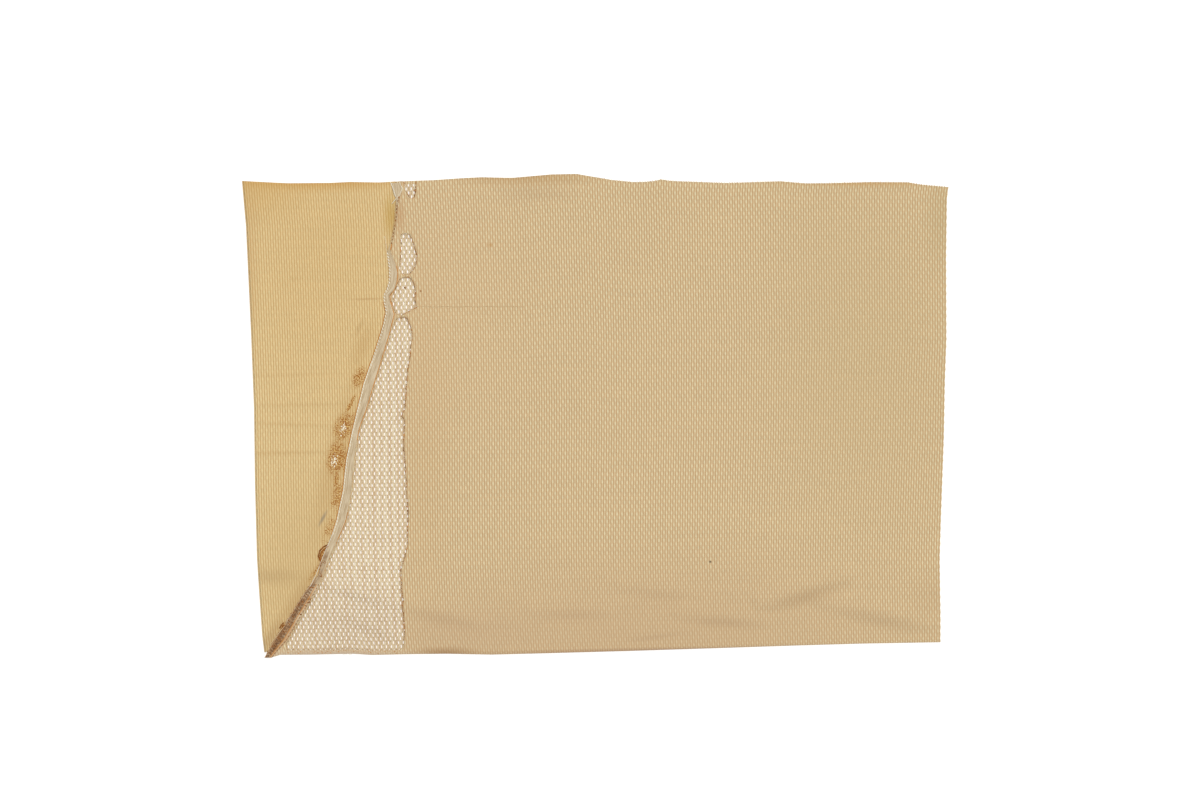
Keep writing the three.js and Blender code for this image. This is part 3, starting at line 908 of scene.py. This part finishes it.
tanSettings = {
    "firstColumn": 2,
    "foldFlat": 30,  # how far up the rows close up towards the fold
    "fineRows": (7, 21),  # rows drawn at half steps, where the ridges are
    "scallop": 0.3,  # the right edge swings in and out as the yarns turn back
    "edgeYarn": (0.95, 0.55),
    "edgeZ": 2.1,
    "edgeSteps": (2, 6),  # steps of the outline in one left-over piece of yarn
    "missing": (0.12, 0.96),  # share of the edge yarn that is gone, right and left of a tear
    "edgeTop": 235,
    "hemClear": 1.5,
    "frayYarn": (0.7, 0.45),
    "frayZ": 2.15,
    "frayLength": (0.3, 1.3),
    "longEnds": (0.12, 1.8),  # share of longer ends, and how much longer
    "brownShare": 0.5,
    "traceSteps": 1700,
    "fringeFrom": 138,  # first column with a fringe
    "fringeLength": (0.25, 1.0),
    "fringeRoot": 1.2,  # how far back in the cloth an end starts
    "fringeZ": (2.7, 2.6, 2.4),  # its height at its root, at the edge and at its tip
    "hemSpecks": 70,
    "hemSpeckSpan": (-308, -196),
    "hemSpeckDepth": (0.4, 3.6),
}
pulledYarn = [(-178 + 6 * k, 109.4 + 0.25 * math.sin(k * 1.7)) for k in range(19)]
darkSpecks = [[(-174.8, 125.3, 3.1), (-173.6, 124.6, 3.2)], [(-190.6, 128.8, 1.5), (-189.4, 127.6, 1.5)]]
looseLoops = [
    [(x + 1.6 * math.cos(k * 0.7), y + math.sin(k * 0.7), 1.2) for k in range(9)]
    for x, y in ((-250, -238.6), (-244.6, -237.6))
]


def buildTanPanel():
    outer, inner = gap / 2 + layer, gap / 2
    foldMiddle = layer + gap / 2
    # rows below 0 go round the fold: four outside, then three back up its inner side
    turns = [(outer, 45), (outer, 90), (outer, 135), (outer, 180), (inner, 180), (inner, 90), (inner, 0)]

    def place(column, row):
        u, v = column / columnCount, np.clip(row / rowCount, 0, 1)
        bottom = clothPoint(u, np.zeros_like(u))[1]
        foldLine = bottom + outer
        x, y = clothPoint(u, v)
        share = np.clip((y - bottom) / tanSettings["foldFlat"], 0, 1)
        y = np.where(row <= 0, foldLine, np.maximum(y, mix(foldLine, y, share)))
        x = x + clothSizes["edgeInset"] * (1 - u)
        x = x + np.where(column > columnCount - 0.75, tanSettings["scallop"] * np.cos(math.pi * row), 0)
        z = upperTop + ridgeLift(x, y)
        for k, (radius, angle) in enumerate(turns):
            here = row == -1 - k
            y = np.where(here, foldLine - radius * math.sin(math.radians(angle)), y)
            z = np.where(here, foldMiddle + radius * math.cos(math.radians(angle)), z)
        return x, y, z, row >= 0

    columns = np.arange(tanSettings["firstColumn"], columnCount + 0.5, 0.5)
    fineFrom, fineTo = tanSettings["fineRows"]
    below, above = np.arange(-len(turns), fineFrom), np.arange(fineTo, rowCount + 1.0)
    rows = np.concatenate([below, np.arange(fineFrom, fineTo, 0.5), above])
    return wovenSheet("tanPanel", columns, rows, place, [leftOfJoin()] + tears, upperUnder)


def brokenEnd(spot, along, rng):
    s = tanSettings
    share, times = s["longEnds"]
    length = rng.uniform(*s["frayLength"]) * (times if rng.random() < share else 1.0)
    bend = np.array([-along[1], along[0]]) * rng.uniform(-0.5, 0.5) * length
    middle, tip = spot + along * length * 0.5 + bend * 0.3, spot + along * length + bend
    z = s["frayZ"]
    return [(*(spot - along), z, 0, 0, 1.0), (*middle, z - 0.1, 0, 0, 1.0), (*tip, z - 0.45, 0, 0, 0.6)]


def yarnEnds(outline, rng):
    # the broken ends of the yarns that the outline crosses, pointing into the hole
    ends = []
    (lowX, lowY), (highX, highY) = np.min(outline, axis=0) - 2, np.max(outline, axis=0) + 2
    fine = np.linspace(0, 1, tanSettings["traceSteps"])
    runs = [(np.full_like(fine, (c + 0.5) / columnCount), fine) for c in range(columnCount)]
    runs += [(fine, np.full_like(fine, (b + 0.5) / rowCount)) for b in range(rowCount)]
    for u, v in runs:
        x, y = clothPoint(u, v)
        if not ((x > lowX) & (x < highX) & (y > lowY) & (y < highY)).any():
            continue
        held = inside(x, y, outline)
        for k in np.nonzero(held[1:] != held[:-1])[0]:
            along = np.array([x[k + 1] - x[k], y[k + 1] - y[k]]) * (1 if held[k + 1] else -1)
            if y[k] >= hemLine(x[k]) + clothSizes["cornerRoom"]:
                ends.append(brokenEnd(np.array([x[k], y[k]]), along / np.hypot(*along), rng))
    return ends


def topFringe(rng):
    # short ends of the upright yarns along the raw upper edge
    ends = []
    for c in range(tanSettings["fringeFrom"], columnCount - 1):
        x, y = clothPoint((c + 0.5) / columnCount, 1.0)
        length = rng.uniform(*tanSettings["fringeLength"])
        lean = rng.uniform(-0.4, 0.4)
        root, edge, tip = tanSettings["fringeZ"]
        start = (x, y - tanSettings["fringeRoot"], root, 0, 0, 1.0)
        ends.append([start, (x, y, edge, 0, 0, 1.0), (x + lean, y + length, tip, 0, 0, 0.7)])
    return ends


def brokenLine(outline, rng):
    # what is left of the yarn along a torn edge, most of it on the right side
    s = tanSettings
    pieces, piece, left = [], [], 0
    middle = np.mean(outline, axis=0)[0]
    for x, y in outline:
        hidden = y > s["edgeTop"] or y < hemLine(x) + s["hemClear"] or besideBand(x, y)
        if hidden or left == 0:
            if len(piece) > 1:
                pieces.append(plainLine(piece, z=s["edgeZ"]))
            piece, left = [], rng.randint(*s["edgeSteps"])
            if hidden or rng.random() < s["missing"][0 if x > middle else 1]:
                continue
        piece.append((x, y))
        left -= 1
    return pieces


def onCloth(points, lift=0.0):
    heights = ridgeLift(*np.array(points, float).T)
    return [(x, y, upperTop + lift + float(z)) for (x, y), z in zip(points, heights)]


def hemSpecks(rng):
    # fibres that lie over the hem, in the torn strip
    specks = []
    for k in range(tanSettings["hemSpecks"]):
        x = rng.uniform(*tanSettings["hemSpeckSpan"])
        y = hemLine(x) - rng.uniform(*tanSettings["hemSpeckDepth"])
        tip = (x + rng.uniform(-1, 1), y + rng.uniform(-0.6, 0.6), upperTop + 0.2)
        specks.append(plainLine([(x, y, upperTop + 0.1), tip]))
    return specks


def buildTanStrands():
    rng = random.Random(11)
    edges = [piece for tear in tears for piece in brokenLine(tear, rng)]
    brownEnds, tanEnds, lightEnds = [], topFringe(rng), []
    for tear in tears:
        middle = np.mean(tear, axis=0)[0]
        for end in yarnEnds(tear, rng):
            right = end[0][0] > middle
            brown = right and rng.random() < tanSettings["brownShare"]
            (brownEnds if brown else tanEnds if right else lightEnds).append(end)
    specks = hemSpecks(rng)
    edge, fray, fibre = tanSettings["edgeYarn"], tanSettings["frayYarn"], (0.7, 0.35)
    rows = [  # name, lines, width and thickness, yarn, sides
        ("tornEdges", edges[::2], edge, scorchedYarn, 6), ("darkEdges", edges[1::2], edge, darkYarn, 6),
        ("brownEnds", brownEnds, fray, scorchedYarn, 5), ("tanEnds", tanEnds, fray, tanYarn, 5),
        ("lightEnds", lightEnds, fray, openYarn, 5),
        ("pulledYarn", [plainLine(onCloth(pulledYarn, 0.12))], (0.5, 0.3), tanYarn, 6),
        ("darkSpecks", [plainLine(p) for p in darkSpecks], (1.3, 0.7), darkYarn, 6),
        ("looseLoops", [plainLine(p) for p in looseLoops], (0.4, 0.3), paleYarn, 6),
        ("hemSpecks", specks[::2], fibre, scorchedYarn, 5),
        ("paleSpecks", specks[1::2], fibre, openYarn, 5),
    ]
    return [yarns(name, lines, *size, material, sides) for name, lines, size, material, sides in rows]


tanUpper = addPiece("tanUpper", buildTanPanel(), tanWeave, buildTanStrands())


# The golden panel, its left edge turned down

goldenSettings = {
    "flatten": 20,  # how far in the columns close up towards the turned edge
    "firstRow": 1.5,
    "lastColumn": 63,
    "cutRight": -150,
    "turnSteps": (30, 60, 90),
    "backSteps": (90, 45, 0),
}


def buildGoldenPanel():
    under = layer + clothSizes["panelClearance"]
    top = under + layer
    outer, inner = clothSizes["turnRadius"] + layer / 2, clothSizes["turnRadius"] - layer / 2
    foot = clothSizes["edgeFoot"]
    # columns below 0: over the turn, down to the foot, across it and back up inside
    turns = [(outer, math.radians(angle)) for angle in goldenSettings["turnSteps"]]
    backs = [(inner, math.radians(angle)) for angle in goldenSettings["backSteps"]]

    def place(column, row):
        u, v = np.clip(column / columnCount, 0, 1), row / rowCount
        x, y = clothPoint(u, v)
        edge = clothPoint(np.zeros_like(u), v)[0]
        share = np.clip((x - edge) / goldenSettings["flatten"], 0, 1)
        turnX, turnZ = edge + outer, top - outer
        x = np.where(column <= 0, turnX, np.maximum(x, mix(turnX, x, share)))
        z = top + ridgeLift(x, y)
        over, back = [
            [(turnX - r * math.sin(a), turnZ + r * math.cos(a)) for r, a in side] for side in (turns, backs)
        ]
        for k, (spotX, spotZ) in enumerate(over + [(edge, foot), (edge + layer, foot)] + back):
            here = column == -1 - k
            x, z = np.where(here, spotX, x), np.where(here, spotZ, z)
        return x, y, z, column >= 0

    extra = 2 + len(turns) + len(backs)
    columns = np.arange(0, goldenSettings["lastColumn"], 0.5)
    columns = np.concatenate([-np.arange(extra, 0, -1.0), columns])
    rows = np.arange(goldenSettings["firstRow"], rowCount + 0.5, 0.5)
    shift = 2 * clothSizes["joinGap"]
    far, past = goldenSettings["cutRight"], clothSizes["cutBeyond"][1]
    right = [(x - shift, y) for x, y in leftOfJoin()[:-2]] + [(far, -past), (far, past)]
    return wovenSheet("goldenPanel", columns, rows, place, [right], under, tornDrop=0.2)


goldenPanel = addPiece("goldenPanel", buildGoldenPanel(), goldenWeave)


# The lower layer: plain cloth where it is covered, and yarns of its own under the tears

lowerSettings = {
    "edgeSteps": 60,
    "right": 9,  # the window in the plain sheet reaches this far past the tears
    "left": 3.0,
    "hem": 2.0,
    "joinSpan": (-232, 215),
    "windowGrow": 1.5,
    "yarnMiddle": 0.8,
    "uprights": (4, 84),  # columns that have yarns of their own
    "acrossSteps": (8, 170),  # half columns that the rows run over
}
windowTop = [(-165, 232), (-168, 210), (-168, 150), (-170, 100)]
windowFoot = (-182, -225, -285, -318)
windowBack = [(-206, 215), (-206, 232)]


def windowOutline():
    s = lowerSettings
    low, high = s["joinSpan"]
    left = [(float(joinX(y)) - s["left"], y) for y, a, b in reversed(bandSides) if low < y < high]
    right = [(x + s["right"], y) for x, y in tearLongSide]
    foot = [(x, hemLine(x) - s["hem"]) for x in windowFoot]
    return windowTop + right + foot + left + windowBack


def buildLowerSheet():
    share = np.linspace(0, 1, lowerSettings["edgeSteps"] + 1)
    back, low, high = share[::-1], np.zeros_like(share), np.ones_like(share)
    loop = []
    for u, v in ((share, low), (high, share), (back, high), (low, back)):
        x, y = clothPoint(u, v)
        x = x + clothSizes["edgeInset"] * (1 - u)
        y = y + (gap / 2 + layer) * (1 - v)
        loop += [(float(a), float(b)) for a, b in zip(x, y)][:-1]
    bm = bmesh.new()
    edges = []
    for outline in (loop, windowOutline()):
        verts = [bm.verts.new((x * mm, y * mm, 0)) for x, y in outline]
        edges += [bm.edges.new((a, b)) for a, b in zip(verts, verts[1:] + verts[:1])]
    bmesh.ops.triangle_fill(bm, use_beauty=True, edges=edges, normal=(0, 0, 1))
    made = bmesh.ops.extrude_face_region(bm, geom=bm.faces[:])
    for v in [g for g in made["geom"] if isinstance(g, bmesh.types.BMVert)]:
        v.co.z = layer * mm
    bmesh.ops.recalc_face_normals(bm, faces=bm.faces)
    uvLayer = bm.loops.layers.uv.new("lattice")
    pitchX, pitchY = weaveSizes["columnPitch"] * mm, weaveSizes["rowPitch"] * mm
    for corner in [loop for face in bm.faces for loop in face.loops]:
        corner[uvLayer].uv = (corner.vert.co.x / pitchX, corner.vert.co.y / pitchY)
    return finishMesh("lowerSheet", bm, shaded=False)


def runsInside(x, y, sway, rise, outline):
    held = inside(x, y, outline)
    z = lowerSettings["yarnMiddle"] + ridgeLift(x, y, lowerRidges)
    runs, line = [], []
    for k, keep in enumerate(list(held) + [False]):
        if keep:
            line.append((float(x[k]), float(y[k]), float(z[k]), float(sway[k]), float(rise[k]), 1.0))
        else:
            runs.append(line)
            line = []
    return [run for run in runs if len(run) > 2]


def buildOpenWeave():
    reach = growOutline(windowOutline(), lowerSettings["windowGrow"])
    upright, across = [], []
    fine = np.arange(0, rowCount * 3 + 1) / 3.0
    for c in range(*lowerSettings["uprights"]):
        x, y = clothPoint(np.full_like(fine, (c + 0.5) / columnCount), fine / rowCount)
        sign = -1 if c % 2 else 1
        sway, rise = sign * np.cos(math.pi * fine), -sign * np.cos(math.pi * (fine - 0.5))
        upright += runsInside(x, y, sway, rise, reach)
    fine = np.arange(*lowerSettings["acrossSteps"]) / 2.0
    for b in range(0, rowCount):
        x, y = clothPoint(fine / columnCount, np.full_like(fine, (b + 0.5) / rowCount))
        sign = -1 if b % 2 else 1
        across += runsInside(x, y, 0 * fine, sign * np.cos(math.pi * (fine - 0.5)), reach)
    s = weaveSizes
    return [
        yarns("uprightYarns", upright, s["yarnWidth"], s["yarnHeight"], openYarn, 6, s["sway"], s["rise"]),
        yarns("acrossYarns", across, s["weftWidth"], s["weftHeight"], openYarn, 5, 0.0, s["rise"]),
    ]


lowerLayer = addPiece("lowerLayer", buildLowerSheet(), tanWeave, buildOpenWeave())


# The band over the join, with its cord

bandSettings = {
    "top": 233,
    "low": -241.5,
    "clearance": 0.08,
    "edgeHeight": 0.25,
    "crown": 0.6,
    "step": 0.8,
    "across": 13,
    "patternLength": 8,  # one repeat of the thread pattern along the band
    "ribs": 5,
    "ribHeight": 0.09,
    "sideReach": 0.12,  # how far the sides waver
    "raggedFrom": -148,  # below this the band is stained, ridged and ragged
    "raggedWithin": 20,
    "raggedReach": 0.5,
    "raggedRidge": 0.14,
    "raggedLumps": 0.2,
    "cordYarn": (0.46, 0.38, 3.2),  # ply radius, core radius and pitch
    "thinCordYarn": (0.28, 0.2, 3.0),
    "cordWhiteFrom": 11,  # the point of the cord's path below which both plies are pale
    "tuftSpan": (-126, -233),
    "tuftTurn": (-2.9, -1.2),
    "tuftLength": (0.4, 1.5),
    "tuftSpace": (1.6, 5.5),
    "edgeSpan": (150, -126, -6),  # the scorched line along the right side: from, to, step
    "edgeClean": (-92, -30),  # where that line isn't scorched
    "besideFrom": 7,
    "besideOff": 1.5,
}

bandShown = bandSides + [(-241.4, -330.4, -322.8)]
looseThread = [(-210.3, 180), (-209.4, 174), (-208.4, 168), (-207.6, 162), (-206.8, 155)]
cordPath = [
    (-207.4, 163), (-206.4, 156), (-205.4, 148), (-205.2, 141), (-205.5, 134),
    (-207.6, 127), (-210.6, 121), (-210.4, 114), (-208.4, 104), (-210.2, 95), (-213, 84), (-221.5, 58),
    (-230.5, 33), (-237, 6), (-241.8, -14), (-248, -44), (-251.2, -74), (-257.5, -104), (-262, -118),
]
loopCords = [
    [(-204.2, 233.2), (-201.4, 226.3), (-198.9, 218.5)],
    [(-195.6, 233.6), (-192.6, 227.4), (-195, 222.5), (-198.4, 217.8), (-202.8, 212.4)],
]
stitchPath = [
    (-195.8, 219.5), (-198.1, 211.3), (-198.8, 200), (-199.9, 191.3), (-201.2, 184), (-203, 175),
    (-204.6, 168.5),
]
turnPoint = [(-203.6, 172), (-203.9, 169), (-204.4, 166.6), (-205.2, 166.2)]
bandEdgePath = [(-261.6, -130), (-264.5, -131), (-268, -138), (-272.3, -146), (-274, -152)]
scorchedCurls = [
    [(-266.6, -130), (-270, -132.5), (-273.4, -136), (-274.8, -141), (-273.8, -146), (-275.5, -150)],
    [(-267.4, -128.6), (-271.4, -130.6), (-275.2, -134.6), (-276.4, -140), (-275, -144)],
]


# The stained end of the band: knots of frayed yarn, loose threads, and its rows of stitches
knots = [
    [(-270.8, -144.6), (-269, -146), (-270, -148)], [(-272, -146), (-269.6, -147.6)],
    [(-275, -157), (-273, -158.6), (-274.2, -160.8)], [(-276, -159.4), (-273, -160.6)],
    [(-289.6, -179.4), (-286.8, -181.2), (-285.8, -184)],
    [(-289, -183.6), (-285.4, -181.4), (-284.2, -184)],
    [(-288, -186.8), (-284.8, -185.6)], [(-291, -188), (-288.4, -190.2)], [(-296.6, -196), (-294, -198.4)],
    [(-315.4, -212), (-313.4, -208.6), (-311, -206.2)], [(-312.8, -211.4), (-310, -208.6)],
]
paleThreads = [
    [(-262, -118), (-267.6, -130), (-274, -146), (-278.6, -158), (-284.6, -170)],
    [(-259.4, -120), (-264.6, -132), (-270.4, -147), (-275.4, -160)],
]
tanThread = [(-305.2, -203.4), (-315.6, -216.4), (-325, -228.6)]
stripYs = (-168, -182, -197, -212, -224, -236, -241)
stripRows = [  # share across the band, stitch length, space, width
    (0.16, 2.2, 0.9, 0.75), (0.3, 1.5, 1.3, 0.85), (0.44, 1.8, 1.1, 0.8), (0.56, 1.4, 1.9, 0.7),
    (0.93, 2.0, 1.6, 0.6),
]


def stripPath(share):
    return [(float(mix(readLine(bandShown, y, 1), readLine(bandShown, y, 2), share)), y) for y in stripYs]


def bandHeight(share):
    s = bandSettings
    return s["edgeHeight"] + s["crown"] * math.sin(math.pi * share) ** 0.6


def waver(y, seed):
    return noise.noise(Vector((y * 0.5, seed, 0))) + noise.noise(Vector((y * 0.16, seed, 5)))


def bandRow(y, start, stop, shares, worn):
    # the places across the band at one height, on its top and on its foot
    s = bandSettings
    top, low = [], []
    for share in shares:
        x = mix(start, stop, share)
        base = upperTop + s["clearance"] + float(ridgeLift(np.array([x]), np.array([y]))[0])
        ridge = math.cos(share * s["ribs"] * math.tau) * mix(s["ribHeight"], s["raggedRidge"], worn)
        ridge += worn * s["raggedLumps"] * noise.noise(Vector((share * 4, y * 0.25, 2)))
        crest = base + bandHeight(share) + ridge * math.sin(math.pi * share)
        top.append((x * mm, y * mm, crest * mm))
        low.append((x * mm, y * mm, base * mm))
    return top, low


def buildBand():
    s = bandSettings
    ys = np.arange(s["top"], s["low"], -s["step"])
    left, right = readLine(bandShown, ys, 1), readLine(bandShown, ys, 2)
    shares = np.linspace(0, 1, s["across"])
    bm = bmesh.new()
    uvLayer = bm.loops.layers.uv.new("lattice")
    tops, lows = [], []
    for k, y in enumerate(ys):
        worn = min(1, max(0, (s["raggedFrom"] - y) / s["raggedWithin"]))
        reach = s["sideReach"] + s["raggedReach"] * worn
        start, stop = left[k] + reach * waver(y, 0), right[k] + reach * waver(y, 9)
        rowTop, rowLow = bandRow(y, start, stop, shares, worn)
        tops.append([bm.verts.new(spot) for spot in rowTop])
        lows.append([bm.verts.new(spot) for spot in rowLow])
    for k in range(len(ys) - 1):
        for c in range(s["across"] - 1):
            face = bm.faces.new([tops[k][c], tops[k + 1][c], tops[k + 1][c + 1], tops[k][c + 1]])
            for loop, (a, b) in zip(face.loops, ((k, c), (k + 1, c), (k + 1, c + 1), (k, c + 1))):
                loop[uvLayer].uv = (shares[b], a * s["step"] / s["patternLength"])
            bm.faces.new([lows[k][c], lows[k][c + 1], lows[k + 1][c + 1], lows[k + 1][c]])
        bm.faces.new([tops[k][0], lows[k][0], lows[k + 1][0], tops[k + 1][0]])
        bm.faces.new([tops[k + 1][-1], lows[k + 1][-1], lows[k][-1], tops[k][-1]])
    for k in (0, len(ys) - 1):
        bm.faces.new(tops[k] + lows[k][::-1])
    bmesh.ops.recalc_face_normals(bm, faces=bm.faces)
    return finishMesh("bandTape", bm)


def dashes(path, length, space, z):
    # short stitches along a path, each a low arch
    made, travelled = [], 0.0
    for (xa, ya), (xb, yb) in zip(path, path[1:]):
        run = math.hypot(xb - xa, yb - ya)
        while travelled + length < run:
            arch = []
            for k, rise in enumerate((0, 0.25, 0.25, 0)):
                t = (travelled + length * k / 3) / run
                arch.append((mix(xa, xb, t), mix(ya, yb, t), z + rise))
            made.append(plainLine(arch))
            travelled += length + space
        travelled = max(0.0, travelled - run)
    return made


def sideTufts(side, rng, apart):
    # short scorched ends along one side of the stained strip
    s = bandSettings
    ends = []
    y, low = s["tuftSpan"]
    while y > low:
        x = float(readLine(bandShown, y, side))
        turn, length = rng.uniform(*s["tuftTurn"]), rng.uniform(*s["tuftLength"])
        z = upperTop + rng.uniform(0.15, 0.6)
        tip = (x + length * math.cos(turn), y + length * math.sin(turn))
        ends.append([(x, y, z, 0, 0, 1.0), (*tip, z - 0.1, 0, 0, 0.7)])
        y -= apart * rng.uniform(*s["tuftSpace"])
    return ends


def buildBandStrands():
    s = bandSettings
    rng = random.Random(23)
    foot = upperTop + s["clearance"]
    z = foot + s["edgeHeight"]
    white = s["cordWhiteFrom"]
    thin = [plainLine(path, z=z + 0.2) for path in loopCords]
    beside = [(x - s["besideOff"], y) for x, y in cordPath[s["besideFrom"]:]]
    edge = [(float(readLine(bandShown, y, 2)) + 0.2, y) for y in range(*s["edgeSpan"])] + bandEdgePath
    low, high = s["edgeClean"]
    edges = [[p for p in edge if p[1] > high], [p for p in edge if p[1] < low]]
    strands = [  # name, paths, height, width, thickness, yarn
        ("turnPoint", [turnPoint], 0.2, 1.0, 0.6, scorchedYarn),
        ("looseThread", [looseThread], -0.2, 0.6, 0.4, openYarn),
        ("scorchedCurl", scorchedCurls, 0.1, 1.2, 0.8, darkYarn),
        ("bandEdge", edges, -0.05, 0.65, 0.45, scorchedYarn),
        ("besideCord", [beside], -0.33, 0.5, 0.35, scorchedYarn),
        ("stripEdge", [stripPath(0.7)], 0.6, 0.55, 0.4, scorchedYarn),
        ("paleThreads", paleThreads, 0.3, 0.5, 0.4, paleYarn),
        ("tanThread", [tanThread], 0.3, 0.7, 0.4, tanYarn),
        ("frayKnots", knots, 0.3, 1.0, 0.7, darkYarn),
    ]
    made = [
        cord("paleCord", [plainLine(cordPath[:white + 1], z=z + 0.25)], *s["cordYarn"], paleYarn, tanYarn),
        cord("whiteCord", [plainLine(cordPath[white:], z=z + 0.25)], *s["cordYarn"], paleYarn, openYarn),
        cord("thinCord", thin, *s["thinCordYarn"], paleYarn, paleYarn),
        yarns("brownStitches", dashes(stitchPath, 2.0, 1.5, z + 0.3), 0.85, 0.4, darkYarn),
    ]
    for name, paths, lift, width, height, material in strands:
        made.append(yarns(name, [plainLine(path, z=z + lift) for path in paths], width, height, material))
    for side, apart, material in ((2, 2.2, scorchedYarn), (1, 1.0, darkYarn)):
        made.append(yarns("tufts", sideTufts(side, rng, apart), 0.6, 0.4, material, sides=5))
    for share, length, space, width in stripRows:
        row = dashes(stripPath(share), length, space, foot + bandHeight(share))
        for start, material in enumerate((smokyYarn, darkYarn, smokyYarn)):
            made.append(yarns("stripStitches", row[start::3], width, 0.4, material, sides=5))
    return made


bandTints = [
    (-202, 196, 86, 26, 6, 0.9, (196, 156, 92)),
    (-206, 172, 76, 16, 6, 0.7, (208, 180, 128)),
]
bandStains = [
    (-280, -162, 62, 30, 8, 0.6), (-299, -191, 56, 40, 16, 0.9), (-318, -222, 54, 44, 18, 1.2),
    (-270, -142, 64, 14, 4, 0.6),
]
bandFinish = {
    "thread": ((184, 160, 124), (220, 202, 170)),
    "stained": ((126, 86, 54), (178, 138, 96)),
    "stainFleck": (108, 78, 56),
    "stainSide": (198, 160, 118),
}


def makeBandMaterial():
    material, w, shader = newMaterial("edgeBand")
    position = flatPosition(w)
    age = useGroup(w, ageGroup, Position=position)
    strip = w.node("ShaderNodeUVMap", uv_map="lattice").outputs[0]
    thread = w.noise(w.vector("MULTIPLY", strip, (8.0, 0.4, 1.0)), 1.0, 3.0, 0.7)
    fresh, stained = ([linear(tint) for tint in bandFinish[key]] for key in ("thread", "stained"))
    colour = addTints(w, w.blend(w.ramp(thread, 0.35, 0.65), *fresh), position, bandTints)
    across = w.node("ShaderNodeSeparateXYZ", strip).outputs[0]
    core = w.times(w.ramp(across, 0.04, 0.12), w.ramp(across, 0.74, 0.62))
    stain = w.blend(w.ramp(thread, 0.3, 0.7), *stained)
    stain = w.blend(w.ramp(age["Fleck"], 0.5, 0.62, 0.0, 0.8), stain, linear(bandFinish["stainFleck"]))
    stain = w.blend(core, linear(bandFinish["stainSide"]), stain)
    w.join(w.blend(stainCover(w, position, bandStains), colour, stain), shader.inputs["Base Color"])
    addBump(w, shader, thread, 0.4, 0.2)
    return material


seamBand = addPiece("seamBand", buildBand(), makeBandMaterial(), buildBandStrands())


# What stands for what

for piece, node, slotName in (
    (tanUpper, "main_width", "tan_weave"), (lowerLayer, "main_width", "tan_weave"),
    (goldenPanel, "left_panel", "golden_weave"), (seamBand, "seam_band", "edge_band"),
):
    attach(piece, "root")
    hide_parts(node)


# Stage, light and camera

stageSettings = {
    "floorSide": 60.0,
    "floorDrop": 0.0001,
    "floorGlow": 0.6,
    "worldLight": 0.62,
    "sunLight": 1.3,
    "sunSpread": 40,
    "sunFrom": (0.4, 0.6, 1.5),
    "cameraHeight": 3.3333,
    "lens": 100.0,
    "photoMiddle": (4.85, 16.1),
}


def buildStage():
    s = stageSettings
    half, low = s["floorSide"] / 2, -s["floorDrop"]
    mesh = bpy.data.meshes.new("floor")
    corners = [(-half, -half, low), (half, -half, low), (half, half, low), (-half, half, low)]
    mesh.from_pydata(corners, [], [(0, 1, 2, 3)])
    floor = addObject("floor", mesh)
    material, w, shader = newMaterial("paleFloor")
    shader.inputs["Base Color"].default_value = (0.6, 0.6, 0.6, 1)
    shader.inputs["Emission Color"].default_value = (1, 1, 1, 1)
    shader.inputs["Emission Strength"].default_value = s["floorGlow"]
    mesh.materials.append(material)

    scene = bpy.context.scene
    scene.world = bpy.data.worlds.new("studio")
    scene.world.use_nodes = True
    sky = scene.world.node_tree.nodes["Background"]
    sky.inputs["Color"].default_value = (1, 1, 1, 1)
    sky.inputs["Strength"].default_value = s["worldLight"]

    sun = bpy.data.lights.new("softSun", "SUN")
    sun.energy = s["sunLight"]
    sun.angle = math.radians(s["sunSpread"])
    lamp = bpy.data.objects.new("softSun", sun)
    lamp.rotation_euler = (-Vector(s["sunFrom"])).to_track_quat("-Z", "Y").to_euler()
    scene.collection.objects.link(lamp)

    camera = bpy.data.cameras.new("above")
    camera.lens = s["lens"]
    camera.sensor_width = 36
    eye = bpy.data.objects.new("above", camera)
    x, y = s["photoMiddle"]
    eye.location = (x * mm, y * mm, s["cameraHeight"])
    scene.collection.objects.link(eye)
    scene.camera = eye
    scene.view_settings.view_transform = "Standard"


buildStage()
print("stage, light and camera set")
